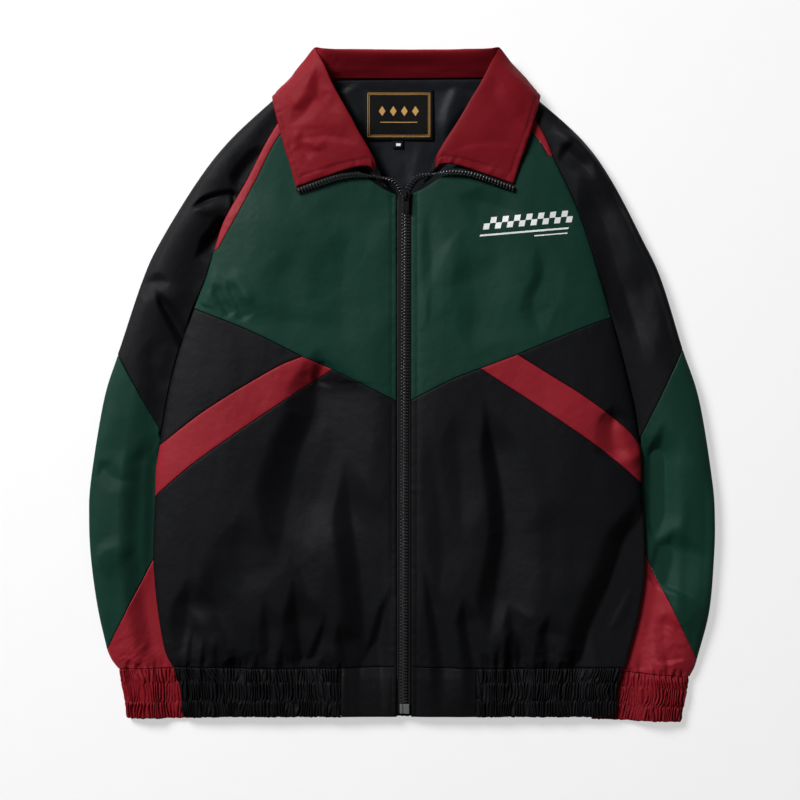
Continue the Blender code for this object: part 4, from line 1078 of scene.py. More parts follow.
def build_cuff(side):
    inners = curve_of("cuff_inner", side, CUFF_ROWS)
    rows = moved_ends((curve_of("cuff", side, CUFF_ROWS), inners, inners))
    net = sleeve_net(side, rows, True, CUFF_POINTS)
    across, down = sizes = net_sizes(net)
    wave = ruffles(across, down / down[-1, 0], CUFF_SEED[side])
    net = net + net_normals(net, True, CUFF_UP) * wave[:, :, None]
    net[-1, :, 1] += 0.6 * noise(across[-1] / EDGE_PITCH, across[-1] * 0 + 0.5, 53)
    net[:, :, 2] = np.maximum(net[:, :, 2], 0.1)
    cut = (CUFF_GATHER, RIB_LENGTH)
    net_cloth(f"cuff_{side}", net, True, CUFF_UP, "red_cloth", sizes, RIB_WALL, cut)


# ---------- body ----------


def zip_rows(side):
    """Points along the topstitching beside the zip."""
    x = ZIP_X[side] + SIGN[side] * np.array(ZIP_STITCH_ROWS[side])
    y = np.arange(HEM_BOTTOM_Y + 3, ZIP_TOP_Y + 20, 2.4)
    return [(across, along) for across in x for along in y]


ZIP_STITCH = {"L": 5.1, "R": 6.6}  # the topstitching this far from the zip
ZIP_STITCH_ROWS = {side: [ZIP_STITCH[side] + away for away in (-1.1, 0, 1.1)] for side in SIDES}
ZIP_GROOVE = 0.5
ZIP_GROOVE_WIDTH = 0.9
ZIP_FACING = 0.33  # puckers between the zip and its topstitching
ZIP_FACING_WIDTH = 3.0


def beside_zip(x, y):
    """The groove of the zip's topstitching and the puckered facing inside it."""
    total = np.zeros_like(x)
    for side in SIDES:
        inside = (x - ZIP_X[side]) * SIGN[side]
        groove = ZIP_GROOVE * hump(inside - ZIP_STITCH[side], ZIP_GROOVE_WIDTH)
        strip = (inside > 0) * hump(inside - 0.5 * ZIP_STITCH[side], ZIP_FACING_WIDTH)
        wave = noise(y / 4.2, inside * 0.12, 91) + 0.6 * noise(y / 9.0, inside * 0.1, 92)
        total += np.where(inside > -1, -groove + ZIP_FACING * wave * strip, 0)
    return total


def front_surface(x, y):
    return front_top(x, y) + beside_zip(x, y)


def hem_follow(x, y):
    """How far the elastic hem follows the front's folds where they meet."""
    seam_y = np.full_like(y, HEM_SEAM_Y)
    return (front_top(x, seam_y) - front_plain(x, seam_y)) * np.exp(-(seam_y - y) / HEM_FOLLOW)


def hem_plain_top(x, y):
    flat_folds = 0.5 * noise(x / 30, y / 24, 14) + 0.18 * crumpled(x, y, 9, 15)
    free = ramp(np.abs(x - chain_x(y)), *ZIP_FREE)
    from_seam = ramp(HEM_SEAM_Y - y, 0, HEM_SWELL)
    swell = (HEM_RISE + flat_folds * free + SEAM_DIP) * from_seam - SEAM_DIP
    return front_plain(x, y) + swell + beside_zip(x, y) + hem_follow(x, y)


def build_front(side):
    rows = zip_rows(side)
    for name, names, slot in PANELS:
        parts = [seam(part, side) for part in names]
        extra = rows if name in ("front_yoke", "front_lower") else ()
        panel(f"{name}_{side}", parts, front_surface, slot, extra=extra)
    parts = [seam(part, side) for part in ("hem_plain_seam", "hem_foot", "-hem_joint")]
    panel(f"hem_plain_{side}", parts, hem_plain_top, "black_cloth", wall=RIB_WALL, extra=rows)


def band_net(left, right, top_y, top, columns, rows):
    """A net across an elastic band between two side curves; top_y is its upper edge at an x."""
    left, right = resample(left, rows), resample(right, rows)
    share = np.linspace(0, 1, columns)
    x = left[:, :1] + (right[:, :1] - left[:, :1]) * share
    down = np.linspace(0, 1, rows)[:, None]
    upper = top_y(x[0])
    y = upper[None, :] * (1 - down) + HEM_BOTTOM_Y * down
    return np.stack([x, y, top(x, y)], axis=2)


BAND_ROWS = 36
FRONT_BAND_COLUMNS = 330
BACK_BAND_COLUMNS = 220
HEM_SEED = {"L": 71, "R": 81}
BACK_HEM_SEED = 95


def build_elastic(node, left, right, top_y, top, columns, seed, on_floor=False):
    """A gathered hem rib; the one on the floor stands only half as high."""
    net = band_net(left, right, top_y, top, columns, BAND_ROWS)
    across, down = sizes = net_sizes(net)
    wave = ruffles(across, down / down[-1, 0], seed)
    net[:, :, 2] += 0.5 * (wave + 1.2) if on_floor else wave
    net[-1, :, 1] += 0.7 * noise(across[-1] / EDGE_PITCH, across[-1] * 0 + 0.5, seed + 5)
    for column, sign in ((0, 1), (-1, -1)):
        edge = noise(down[:, column] / EDGE_PITCH, down[:, column] * 0 + 3.5, seed + 6)
        net[:, column, 0] += sign * 0.35 * edge
    cut = (BACK_GATHER if on_floor else FRONT_GATHER, RIB_LENGTH)
    net_cloth(node, net, False, slice(0, columns - 1), "black_cloth", sizes, RIB_WALL, cut)


def build_hem(side):
    top_curve = curve_of("hem_seam", side)
    top_curve = top_curve[np.argsort(top_curve[:, 0])]

    def top_y(x):
        return np.interp(x, top_curve[:, 0], top_curve[:, 1]) - SEAM_GAP

    def top(x, y):
        return front_plain(x, y) + HEM_RISE + hem_follow(x, y)

    outer = curve_of("hem_side", side)
    joint = curve_of("hem_joint", side) + (SIGN[side] * SEAM_GAP / 2, 0)
    edges = (outer, joint) if side == "L" else (joint, outer)
    build_elastic(f"hem_elastic_{side}", *edges, top_y, top, FRONT_BAND_COLUMNS, HEM_SEED[side])


def build_back():
    raglans = {side: seam("back_raglan", side, HIDDEN_STEP) for side in SIDES}
    edges = {side: seams_of(("side_wedge", "side_stripe", "side_lower"), side) for side in SIDES}
    neck = seam("-neck_back", step=HIDDEN_STEP)
    parts = (raglans["L"], edges["L"], edges["R"][::-1], raglans["R"][::-1], neck)

    def top(x, y):
        lift = folded(BACK_FOLDS, x, y) * 0.5
        return back_top(x, y) + np.maximum(lift, 0)

    panel("back_panel", parts, top, "black_cloth", wall=WALL, step=HIDDEN_STEP, rings=(), seams=False)

    def top_y(x):
        return np.full_like(x, CURVES["hem_seam_L"][0][1] - HEM_DROP)

    def hem_back_top(x, y):
        return underside(x, y) + RIB_SOLID

    sides = (curve_of("hem_side", side) for side in SIDES)
    build_elastic(
        "hem_elastic_back", *sides, top_y, hem_back_top, BACK_BAND_COLUMNS, BACK_HEM_SEED, on_floor=True
    )


BACK_FOLDS = (
    # points, width at start, width at end, depth, fade in, fade out
    (((-150, 200), (-90, 60), (-60, -120)), 12, 16, 1.4, 0.3, 0.4),
    (((140, 190), (100, 40), (90, -140)), 12, 14, 1.2, 0.3, 0.4),
    (((-120, -180), (-110, -240), (-116, -304)), 8, 6, 1.6, 0.4, 0.0),
    (((70, -170), (84, -240), (80, -304)), 8, 6, 1.5, 0.4, 0.0),
    (((0, -200), (-8, -250), (-2, -304)), 7, 6, 1.2, 0.4, 0.0),
)

LINING_FOLDS = (
    # points, width at start, width at end, depth, fade in, fade out
    (((-62, 322), (-50, 296), (-48, 268)), 5, 6, 2.0, 0.1, 0.4),
    (((60, 322), (50, 296), (46, 262)), 5, 6, 1.8, 0.1, 0.4),
    (((-70, 300), (-52, 282), (-40, 250)), 4, 5, -1.5, 0.2, 0.4),
    (((72, 306), (56, 280), (46, 248)), 4, 6, -1.5, 0.2, 0.4),
    (((-20, 255), (-8, 225), (0, 200)), 6, 8, 1.0, 0.4, 0.3),
    (((20, 262), (14, 228), (10, 204)), 6, 7, 0.9, 0.4, 0.3),
)


def lining_top(x, y):
    folds = folded(LINING_FOLDS, x, y) + 0.3 * crumpled(x, y, 14, 27) + 0.4 * noise(x / 24, y / 30, 28)
    return back_top(x, y) + LINING_LIFT + np.maximum(folds, -0.5) + 2.5 * ramp(y, 316, 330)


def label_top(x, y):
    bend = 0.5 * noise(x / 30, y / 26, 29)
    return back_top(x, y) + LINING_LIFT + LABEL_LIFT + bend


def rectangle(box):
    left, right, bottom, top = box
    return np.array(((left, bottom), (right, bottom), (right, top), (left, top)), float)


LABEL_FRAME_GAP = (4.0, 5.6)  # two gold lines this far inside the label's edge
LABEL_LINE = 0.55
THREAD_LIFT = 0.16  # gold thread and the pale mark stand this far over their cloth
LABEL_MOTIFS = (-18.0, -6.0, 6.0, 18.0)
LABEL_MOTIF = 3.6


def ribbon(points, width, lift, top):
    """A narrow flat strip along points in plan, lying on a surface."""
    points = np.asarray(points, float)
    along = np.gradient(points, axis=0)
    along /= np.maximum(np.linalg.norm(along, axis=1, keepdims=True), 1e-9)
    across = np.stack([-along[:, 1], along[:, 0]], axis=1) * width / 2
    rows = []
    for edge in (points - across, points + across):
        rows.append(np.column_stack([edge, top(edge[:, 0], edge[:, 1]) + lift]))
    return np.stack(rows, axis=1)


def build_allowances():
    """The turned-in cloth behind the seams of the sleeves and of the plain hem."""
    nets = []

    def lay(line, top):
        nets.append(ribbon(line, ALLOWANCE, -ALLOWANCE_DROP, top))

    for side in SIDES:

        def sleeve(x, y, side=side):
            return sleeve_top(side, x, y)

        lay(
            seams_of(("raglan", "armhole", "underarm", "side_wedge"), side),
            lambda x, y, sleeve=sleeve: np.minimum(sleeve(x, y), front_top(x, y)),
        )
        line = np.array([CURVES[f"fold_{side}"][-1], CURVES[f"underarm_{side}"][-1]], float)
        lay(spaced(line[0] + (line[1] - line[0]) * np.array([[0.12], [1.0]]), 3.0), sleeve)
        line = seam("hem_plain_seam", side)
        lay(np.vstack([line, line[-1] - (SIGN[side] * HEM_TURN_IN, 0)]), front_surface)
    joined_nets("seam_allowances", nets, "black_cloth")


def joined_nets(name, nets, material):
    """One piece from several nets of points."""
    points, faces, start = [], [], 0
    for net in nets:
        rows, columns = net.shape[:2]
        row, column = np.mgrid[0 : rows - 1, 0 : columns - 1]
        first = start + row * columns + column
        quads = np.stack([first, first + 1, first + columns + 1, first + columns], axis=2).reshape(-1, 4)
        flat = net.reshape(-1, 3)
        a, b, d = (flat[quads[:, index] - start] for index in (0, 1, 3))
        if np.cross(b - a, d - a)[:, 2].sum() < 0:
            quads = quads[:, ::-1]
        points.append(flat)
        faces.append(quads)
        start += len(flat)
    add_piece(name, mesh_from(name, np.vstack(points), np.vstack(faces)), material)


def build_neck_inside():
    corners = np.array(LINING_CORNERS, float)
    panel("back_lining", [corners], lining_top, "lining_cloth", wall=LINING_SHEET, step=3.0, seams=False)
    label, tab = rectangle(LABEL_BOX), rectangle(SIZE_TAB_BOX)
    panel("neck_label", [label], label_top, "label_cloth", wall=LABEL_WALL, step=2.6)
    panel("size_tab", [tab], label_top, "label_cloth", wall=LABEL_WALL, step=1.8, rings=(1.0,))
    left, right, bottom, top = LABEL_BOX
    nets = []

    def thread(start, end, step, width):
        line = spaced(np.array([start, end], float), step)
        return ribbon(line, width, THREAD_LIFT, label_top)

    for gap, width in zip(LABEL_FRAME_GAP, (LABEL_LINE, LABEL_LINE * 0.7)):
        corners = rectangle((left + gap, right - gap, bottom + gap, top - gap))
        nets += [thread(start, end, 2.0, width) for start, end in zip(corners, np.roll(corners, -1, axis=0))]
    middle_x, middle_y = (left + right) / 2, (bottom + top) / 2 + 4
    up = np.array((-1, -0.5, 0, 0.5, 1))[:, None]
    for offset in LABEL_MOTIFS:
        x = middle_x + offset + np.array((-1, 1)) * LABEL_MOTIF * (1 - abs(up))
        y = np.broadcast_to(middle_y + up * LABEL_MOTIF * 1.5, x.shape)
        nets.append(np.dstack([x, y, label_top(x, y) + THREAD_LIFT]))
    nets.append(thread((middle_x - 20, middle_y - 12), (middle_x + 20, middle_y - 12), 2.0, 0.8))
    joined_nets("label_woven_gold", nets, "gold_thread")
    left, right, bottom, top = SIZE_TAB_BOX
    middle_y = (bottom + top) / 2
    mark = thread((left + 3.6, middle_y), (right - 3.6, middle_y), 1.0, 3.0)
    joined_nets("size_tab_mark", [mark], "white_print")


# ---------- collar ----------


def mirrored(point):
    """The collar's left half seen on the right."""
    rise = (point[1] - COLLAR_FOOT_Y) / COLLAR_TALL
    middle = COLLAR_MIDDLE_X + COLLAR_LEAN * rise
    return (2 * middle - point[0], point[1] + COLLAR_RAISE * (1 - rise), point[2])


COLLAR_FOLDS = (
    # along the band and across it in millimetres, as (points, widths, depth, fades)
    (((120, 52), (92, 62), (72, 84), (64, 108)), 7, 6, -1.6, 0.3, 0.3),
    (((112, 60), (94, 74), (84, 96)), 5, 5, 1.2, 0.3, 0.3),
    (((16, 46), (34, 62), (44, 84), (46, 104)), 5, 5, -1.3, 0.3, 0.3),
    (((24, 74), (38, 84), (58, 86)), 4, 4, 1.1, 0.3, 0.3),
    (((14, 92), (30, 98), (50, 112)), 4, 4, -1.1, 0.3, 0.3),
    (((56, 46), (76, 60), (96, 64)), 6, 6, -1.0, 0.4, 0.4),
    (((150, 66), (132, 84), (128, 104)), 6, 5, -1.2, 0.3, 0.3),
    (((36, 110), (46, 100), (62, 98)), 3, 3, 0.8, 0.3, 0.3),
)


def collar_net():
    left = [list(section) for section in COLLAR]
    right = [[mirrored(point) for point in section] for section in COLLAR[-2::-1]]
    lines = list(zip(*(left + right)))
    nets = np.stack([smooth(line, COLLAR_ROWS) for line in lines], axis=1)
    return np.stack([smooth(section, COLLAR_COLUMNS) for section in nets])


def build_collar():
    net = collar_net()
    across, down = sizes = net_sizes(net)
    whole = slice(0, net.shape[1] - 1)
    total_across, total_down = across[0, -1], down[-1, 0]
    from_edge = total_across - across
    from_end = np.minimum(down, total_down - down)
    inside = np.minimum(from_edge, from_end)
    groove = 0.5 * hump(inside - COLLAR_STITCH, 1.1) * ramp(across, 30, 44)
    around = np.where(from_edge < from_end, down, across + 500)
    hem_wave = noise(around / 4.6, around * 0 + 0.5, 101) * 0.55 + 0.45 * noise(around / 9.5, inside / 5, 102)
    pucker = 1.3 * hem_wave * hump(inside - COLLAR_STITCH * 0.6, 4.5)
    edge_dip = 0.7 * hump(inside, 1.2)
    left = 1 - ramp(down, total_down * 0.3, total_down * 0.4)
    small = (0.12 + 0.3 * left) * crumpled(down, across, 22, 103) + 0.5 * noise(down / 30, across / 22, 104)
    folds = folded(COLLAR_FOLDS, down, across)
    folds += folded(COLLAR_FOLDS[:3], total_down - down + 9, across * 0.94) * 0.35
    amount = (small + folds) * ramp(across, 3, 14) * ramp(inside, 0, 12) + pucker - groove - edge_dip
    net = net + net_normals(net, False, whole) * amount[:, :, None]
    net[:, :, 2] = np.maximum(net[:, :, 2], COLLAR_WALL + 0.1)
    made = net_cloth("collar", net, False, whole, "red_cloth", sizes, COLLAR_WALL)
    made.data.materials.append(MATERIALS["zip_tape"])
    facing = (from_end < FACING[0]) & (across < FACING[1])
    made.data.polygons.foreach_set("material_index", facing[:-1, :-1].astype(np.int32).ravel())
    return net


# ---------- zip ----------


def tape_rows(side):
    """Pairs of points, chain side and cloth side, up the front and along the collar's edge."""
    half_gap = SEAM_GAP / 2
    y = np.arange(ZIP_BOTTOM_Y, ZIP_TOP_Y - TAPE_TURN, 3.0)
    chain = chain_x(y) + SIGN[side] * half_gap
    edge = np.full_like(y, ZIP_X[side] - SIGN[side] * half_gap)
    pairs = [np.column_stack([x, y, front_plain(x, y) - TAPE_DROP]) for x in (chain, edge)]
    ends = [[mirrored(point) for point in pair] for pair in COLLAR_TAPE] if side == "R" else COLLAR_TAPE
    lines = [smooth([pair[index] for pair in ends], 8) for index in (0, 1)]
    return [np.vstack([pairs[index], lines[index]]) for index in (0, 1)]


def tooth_mesh():
    """One moulded tooth in its own frame: X towards the chain's middle, Y along it, Z up."""
    outline = [(x, -half) for x, half in TOOTH_HALF] + [(x, half) for x, half in TOOTH_HALF[::-1]]
    outline = np.array(outline, float)
    middle = outline.mean(0)
    small = middle + (outline - middle) * (1 - TOOTH_BEVEL, 0.35)
    layers = ((outline, -TOOTH_THICK / 2), (outline, TOOTH_THICK / 2 - TOOTH_BEVEL), (small, TOOTH_THICK / 2))
    points = np.vstack([np.column_stack([ring, np.full(len(ring), z)]) for ring, z in layers])
    count = len(outline)
    faces = []
    for layer in range(len(layers) - 1):
        for index in range(count):
            after = (index + 1) % count
            low, high = layer * count, (layer + 1) * count
            faces.append((low + index, low + after, high + after, high + index))
    top = (len(layers) - 1) * count
    for index in range(count // 2 - 1):
        faces.append((top + index, top + index + 1, top + count - 2 - index, top + count - 1 - index))
    return points, faces


def copies(name, shape, places, material):
    """One piece from copies of a small shape, each with its origin and three axes."""
    points, faces = shape
    made_points, made_faces = [], []
    for number, (origin, along_x, along_y, along_z) in enumerate(places):
        axes = np.array([along_x, along_y, along_z])
        made_points.append(np.asarray(points) @ axes + origin)
        made_faces.extend([[corner + number * len(points) for corner in face] for face in faces])
    mesh = bpy.data.meshes.new(name)
    mesh.from_pydata((np.vstack(made_points) * MM).tolist(), [], made_faces)
    mesh.shade_smooth()
    mesh.set_sharp_from_angle(angle=math.radians(35))
    add_piece(name, mesh, material)


def unit(vector):
    return vector / max(np.linalg.norm(vector), 1e-9)


def teeth_places(side):
    """Places of one side's teeth: up the closed chain, then along the open tape."""
    places = []
    shift = 0.0 if side == "L" else TOOTH_PITCH / 2
    y = CHAIN_TEETH_BOTTOM_Y + shift
    while y < CHAIN_TEETH_TOP_Y:
        x = chain_x(y)
        z = float(front_plain(np.array([x]), np.array([y]))[0]) - TAPE_DROP + TOOTH_THICK / 2 - 0.2
        places.append(((x, y, z), (-SIGN[side], 0, 0), (0, 1, 0), (0, 0, 1)))
        y += TOOTH_PITCH
    chain, edge = tape_rows(side)
    keep = chain[:, 1] > ZIP_TOP_Y + 2
    chain, edge = chain[keep], edge[keep]
    line = spaced(chain, TOOTH_PITCH)
    other = resample(edge, len(line))
    direction = np.gradient(line, axis=0)
    for point, across_to, along in zip(line, other, direction):
        inwards = unit(point - across_to)
        along = unit(along - inwards * (along @ inwards))
        up = np.cross(inwards, along)
        if up[2] < 0:
            up = -up
            along = -along
        places.append((point + up * 0.9 + inwards * 0.7, inwards, along, up))
    return places


TAPE_POINTS = 6  # across a tape
TAPE_CUT = 12.0  # width that each tape is cut to
TAPE_SHOWS = 6.2  # width of it that shows
TAPE_WALL = 0.7
TAPE_RIDGE = 0.2


def build_zip():
    across = np.linspace(0, 1, TAPE_POINTS)
    for side in SIDES:
        chain, edge = tape_rows(side)
        net = np.stack([chain + (edge - chain) * share for share in across], axis=1)
        net[:, :, 2] += hump(across - 0.25, 0.2) * TAPE_RIDGE
        mesh = net_mesh(f"zip_tape_{side}", net, False, slice(0, TAPE_POINTS - 1))
        flat = (TAPE_CUT, net_sizes(net)[1][-1, 0])
        cloth(f"zip_tape_{side}", mesh, "zip_tape", TAPE_WALL, flat, flat[1] * TAPE_SHOWS)
        copies(f"zip_teeth_{side}", tooth_mesh(), teeth_places(side), "zip_teeth")
    for node in ("zip_slider", "zip_pull_tab"):
        set_material(node, "black_metal")
    for node in ("zip_box", "zip_pin"):
        set_material(node, "grey_plastic")


def set_material(node, name):
    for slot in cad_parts[node].material_slots:
        slot.material = MATERIALS[name]


# ---------- stitches and print ----------

STITCH_LENGTH = 2.3
STITCH_PITCH = 3.0
STITCH_RADIUS = 0.2
STITCH_SIDES = 6
ZIP_STITCH_RUNS = ((-302.0, 204.0), (-355.0, -307.0))  # from y to y, on the front and on the hem


def stitch_shape():
    """A short thread lying along X, sunk at its ends."""
    rings = []
    for share in (-0.5, -0.3, 0.0, 0.3, 0.5):
        drop = -0.35 * abs(2 * share) ** 3
        size = STITCH_RADIUS * (1 - 0.5 * abs(2 * share) ** 4)
        for turn in range(STITCH_SIDES):
            angle = turn * 2 * math.pi / STITCH_SIDES
            rings.append((share * STITCH_LENGTH, size * math.cos(angle), drop + size * math.sin(angle)))
    faces = []
    for ring in range(4):
        low, high = ring * STITCH_SIDES, (ring + 1) * STITCH_SIDES
        for turn in range(STITCH_SIDES):
            after = (turn + 1) % STITCH_SIDES
            faces.append((low + turn, low + after, high + after, high + turn))
    return np.array(rings), faces


def stitch_places(points):
    """Places of stitches along a line of points in space."""
    line = spaced(points, STITCH_PITCH)
    places = []
    for point, along in zip(line, np.gradient(line, axis=0)):
        along = unit(along)
        across = unit(np.cross((0.0, 0.0, 1.0), along))
        places.append((point, along, across, np.cross(along, across)))
    return places


def build_stitches(collar):
    black = []
    for side in SIDES:
        x = ZIP_X[side] + SIGN[side] * ZIP_STITCH[side]
        for (start, end), top in zip(ZIP_STITCH_RUNS, (front_surface, hem_plain_top)):
            line = spaced(np.array([(x, start), (x, end)]), STITCH_PITCH / 2)
            black += stitch_places(np.column_stack([line, top(line[:, 0], line[:, 1]) + 0.1]))
    copies("stitches_zip", stitch_shape(), black, "black_thread")
    across, down = net_sizes(collar)
    column = int(np.argmin(np.abs(across[0, -1] - across[0] - COLLAR_STITCH)))
    start = int(np.argmin(np.abs(down[:, 0] - COLLAR_STITCH)))
    end = len(collar) - 1 - start
    middle = collar.shape[1] // 3
    red = stitch_places(collar[start:end, column] + (0, 0, 0.15))
    for row in (start, end):
        red += stitch_places(collar[row, middle:column] + (0, 0, 0.15))
    copies("stitches_collar", stitch_shape(), red, "red_thread")


def build_print():
    """A white strip of two rows of leaning checks over two plain bars."""
    turn = turned_by(PRINT_TURN)
    nets = []

    def patch(left, right, bottom, top):
        columns = max(3, round((right - left) / 2.0) + 1)
        x, y = np.meshgrid(np.linspace(left, right, columns), np.linspace(bottom, top, 4))
        flat = np.stack([x + PRINT_SLANT * y, y], axis=2) @ turn + PRINT_PLACE
        up = front_surface(flat[..., 0], flat[..., 1]) + PRINT_LIFT
        nets.append(np.dstack([flat, up]))

    for row in range(2):
        for column in range(PRINT_COLUMNS):
            if (row + column) % 2 == 0:
                left = (column - PRINT_COLUMNS / 2) * PRINT_CELL
                patch(left, left + PRINT_CELL, (row - 1) * PRINT_CELL, row * PRINT_CELL)
    for bar in PRINT_BARS:
        patch(*bar)
    joined_nets("chest_print", nets, "white_print")


# ---------- materials ----------


def add_node(tree, kind, links=(), **values):
    """A shader node with its inputs set or linked, by name."""
    made = tree.nodes.new(kind)
    for name, value in values.items():
        setattr(made, name, value)
    for name, value in links:
        if isinstance(value, bpy.types.NodeSocket):
            tree.links.new(value, made.inputs[name])
        else:
            made.inputs[name].default_value = value
    return made


THREAD = 698.0  # scale of a wave with a period of 0.45 mm
WHITE = (1, 1, 1, 1)


def base_material(name, colour, patch, roughness, spread, scale, detail, specular, sheen, sheen_roughness):
    """A material whose patches differ in colour and roughness: its tree, shader and place."""
    made = bpy.data.materials.new(name)
    made.use_nodes = True
    tree = made.node_tree
    shader = tree.nodes["Principled BSDF"]
    shader.inputs["Specular IOR Level"].default_value = specular
    shader.inputs["Sheen Weight"].default_value = sheen
    shader.inputs["Sheen Roughness"].default_value = sheen_roughness
    place = add_node(tree, "ShaderNodeTexCoord").outputs["Object"]
    links = (("Vector", place), ("Scale", scale), ("Detail", detail))
    patches = add_node(tree, "ShaderNodeTexNoise", links).outputs["Fac"]
    dark, light = (tuple(channel * share for channel in colour) + (1.0,) for share in (1 - patch, 1 + patch))
    blend = add_node(tree, "ShaderNodeMix", (("Factor", patches),), data_type="RGBA")
    blend.inputs["A"].default_value = dark
    blend.inputs["B"].default_value = light
    tree.links.new(blend.outputs["Result"], shader.inputs["Base Color"])
    links = (("Value", patches), ("To Min", roughness - spread), ("To Max", roughness + spread))
    rough = add_node(tree, "ShaderNodeMapRange", links)
    tree.links.new(rough.outputs["Result"], shader.inputs["Roughness"])
    return made, tree, shader, place


def plain_material(name, colour, roughness, specular=0.5, grain=0.0, grain_scale=900.0, sheen=0.0, patch=0.2):
    """A material with slight unevenness in colour and roughness, and perhaps a fine grain."""
    made, tree, shader, place = base_material(
        name, colour, patch, roughness, 0.05, 40.0, 2.0, specular, sheen, 0.4
    )
    if grain:
        links = (("Vector", place), ("Scale", grain_scale), ("Detail", 2.0))
        fine = add_node(tree, "ShaderNodeTexNoise", links)
        links = (("Height", fine.outputs["Fac"]), ("Strength", grain), ("Distance", 0.0002))
        tree.links.new(add_node(tree, "ShaderNodeBump", links).outputs["Normal"], shader.inputs["Normal"])
    return made


def cloth_material(name, colour, roughness, specular, sheen=0.0, tint=WHITE, crumple=0.3, weave=0.35):
    """Plain-weave nylon: fine threads both ways, soft small creases, uneven sheen."""
    made, tree, shader, place = base_material(
        name, colour, 0.18, roughness, 0.06, 9.0, 3.0, specular, sheen, 0.35
    )
    shader.inputs["Sheen Tint"].default_value = tint
    threads = add_node(tree, "ShaderNodeUVMap", uv_map="cloth").outputs["UV"]
    woven = add_node(tree, "ShaderNodeMath", operation="MULTIPLY")
    for index, direction in enumerate(("X", "Y")):
        links = (("Vector", threads), ("Scale", THREAD))
        wave = add_node(tree, "ShaderNodeTexWave", links, wave_type="BANDS", bands_direction=direction)
        tree.links.new(wave.outputs["Fac"], woven.inputs[index])
    links = (("Vector", place), ("Scale", 75.0), ("Detail", 2.5), ("Roughness", 0.55))
    small = add_node(tree, "ShaderNodeTexNoise", links)
    links = (("Height", small.outputs["Fac"]), ("Strength", crumple), ("Distance", 0.0016))
    creases = add_node(tree, "ShaderNodeBump", links)
    links = (("Height", woven.outputs[0]), ("Strength", weave), ("Distance", 0.00012))
    bump = add_node(tree, "ShaderNodeBump", (*links, ("Normal", creases.outputs["Normal"])))
    tree.links.new(bump.outputs["Normal"], shader.inputs["Normal"])
    return made


RED_SHEEN = (0.02, (1, 0.5, 0.6, 1))
CLOTHS = (
    # name, colour, roughness, specular, then if need be sheen, its tint, creases, weave
    ("black_cloth", (0.0046, 0.0048, 0.0060), 0.56, 0.125),
    ("green_cloth", (0.0058, 0.0345, 0.0230), 0.55, 0.11),
    ("red_cloth", (0.250, 0.0105, 0.0190), 0.53, 0.17, *RED_SHEEN),
    # darker copies of the black and red cloth: painted shade for the ruffled hem and cuffs
    ("gathered_black", (0.0036, 0.0037, 0.0046), 0.58, 0.095),
    ("gathered_red", (0.190, 0.0060, 0.0120), 0.56, 0.11, *RED_SHEEN),
    ("lining_cloth", (0.0062, 0.0075, 0.0105), 0.50, 0.16),
    ("label_cloth", (0.0026, 0.0026, 0.003), 0.6, 0.10, 0.0, WHITE, 0.1, 0.6),
)
PLAINS = (
    # name, colour, roughness, specular, then if need be grain, its scale, sheen, patches
    ("zip_tape", (0.004, 0.004, 0.005), 0.7, 0.25, 0.6),
    ("zip_teeth", (0.016, 0.016, 0.018), 0.3, 0.6, 0.1),
    ("black_metal", (0.008, 0.008, 0.009), 0.28, 0.6, 0.1),
    ("grey_plastic", (0.13, 0.14, 0.14), 0.35, 0.5, 0.15),
    ("gold_thread", (0.52, 0.28, 0.075), 0.5, 0.5, 0.5, 2500),
    ("white_print", (0.80, 0.80, 0.80), 0.5, 0.5, 0.15),
    ("black_thread", (0.006, 0.006, 0.007), 0.5, 0.5, 0.0, 900.0, 0.2),
    ("red_thread", (0.10, 0.006, 0.012), 0.5, 0.5, 0.0, 900.0, 0.2),
    ("floor", (0.48, 0.48, 0.48), 0.9, 0.02, 0.0, 900.0, 0.0, 0.02),
)
MATERIALS = {row[0]: cloth_material(*row) for row in CLOTHS}
MATERIALS.update((row[0], plain_material(*row)) for row in PLAINS)

# Painted shade: the hem and the cuffs get darker copies of their cloth, for the little light that gets
# between their ruffles.
PAINTED_SHADE_COPIES = {"black_cloth": "gathered_black", "red_cloth": "gathered_red"}


# ---------- stage ----------

FLOOR_HALF = 4000.0
FLOOR_Z = -0.4
KEY_PLACE = (-2.4, 2.3, 2.5)  # lights are in metres
KEY_SIZE = 1.8
KEY_POWER = 240.0
FILL_PLACE = (1.6, -0.4, 2.2)
FILL_SIZE = 2.4
FILL_POWER = 5.0
SKY_OVERHEAD = 0.13
SKY_AROUND = 0.10
FLOOR_GLOW = 0.54


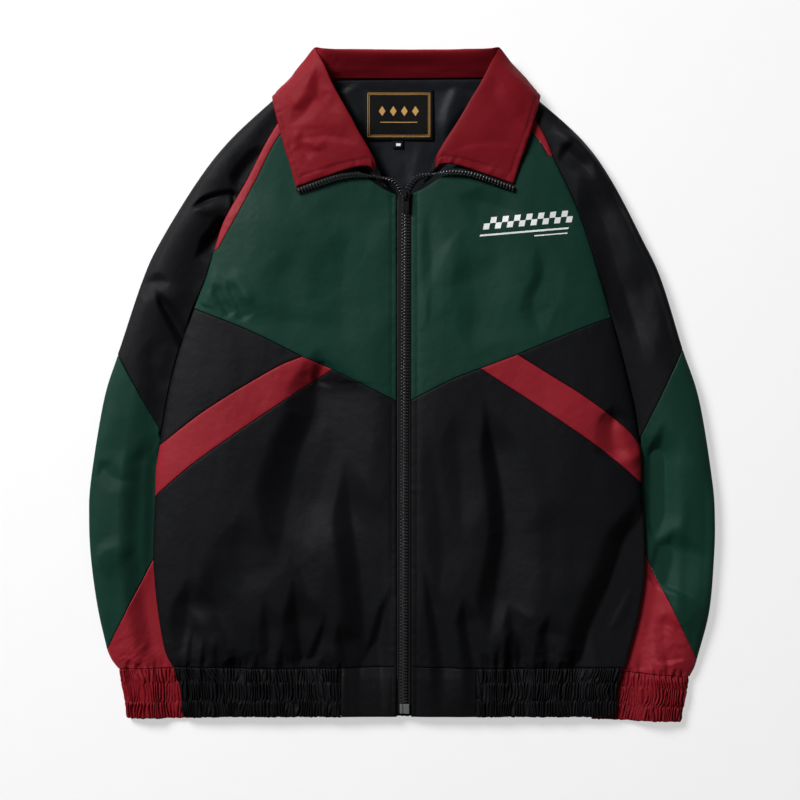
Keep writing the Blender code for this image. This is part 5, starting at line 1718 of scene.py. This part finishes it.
def area_light(name, place, size, power):
    light = bpy.data.lights.new(name, "AREA")
    light.shape = "DISK"
    light.size = size
    light.energy = power
    made = bpy.data.objects.new(name, light)
    made.location = place
    made.rotation_euler = (-Vector(place)).to_track_quat("-Z", "Y").to_euler()
    bpy.context.scene.collection.objects.link(made)


def build_stage():
    corners = rectangle((-FLOOR_HALF, FLOOR_HALF, -FLOOR_HALF, FLOOR_HALF))
    mesh = mesh_from("floor", np.column_stack([corners, np.full(4, FLOOR_Z)]), [(0, 1, 2, 3)])
    mesh.materials.append(MATERIALS["floor"])
    glow = MATERIALS["floor"].node_tree.nodes["Principled BSDF"].inputs
    glow["Emission Color"].default_value = WHITE
    glow["Emission Strength"].default_value = FLOOR_GLOW
    floor = bpy.data.objects.new("floor", mesh)
    bpy.context.scene.collection.objects.link(floor)
    floor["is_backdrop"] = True
    area_light("key", KEY_PLACE, KEY_SIZE, KEY_POWER)
    area_light("fill", FILL_PLACE, FILL_SIZE, FILL_POWER)
    world = bpy.data.worlds.new("studio")
    world.use_nodes = True
    tree = world.node_tree
    place = add_node(tree, "ShaderNodeTexCoord").outputs["Generated"]
    direction = add_node(tree, "ShaderNodeSeparateXYZ", (("Vector", place),))
    links = (("Value", direction.outputs["Z"]), ("To Min", SKY_AROUND), ("To Max", SKY_OVERHEAD))
    spread = add_node(tree, "ShaderNodeMapRange", links)
    tree.links.new(spread.outputs["Result"], tree.nodes["Background"].inputs["Strength"])
    scene = bpy.context.scene
    scene.world = world
    scene.view_settings.view_transform = "Standard"
    camera = bpy.data.cameras.new("camera")
    camera.lens = CAMERA_LENS
    camera.sensor_width = SENSOR
    camera.clip_end = 20.0
    made = bpy.data.objects.new("camera", camera)
    made.location = (*CAMERA_XY, FRAME_WIDTH * CAMERA_LENS / SENSOR + FRAME_HEIGHT_Z)
    scene.collection.objects.link(made)
    scene.camera = made


def main():
    build_stage()
    build_back()
    build_neck_inside()
    build_allowances()
    for side in SIDES:
        build_sleeve(side)
        build_cuff(side)
        build_front(side)
        build_hem(side)
    collar = build_collar()
    build_zip()
    build_stitches(collar)
    build_print()


main()
bounds = [[list(corner) for corner in box] for box in (CAD_BOX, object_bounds())]
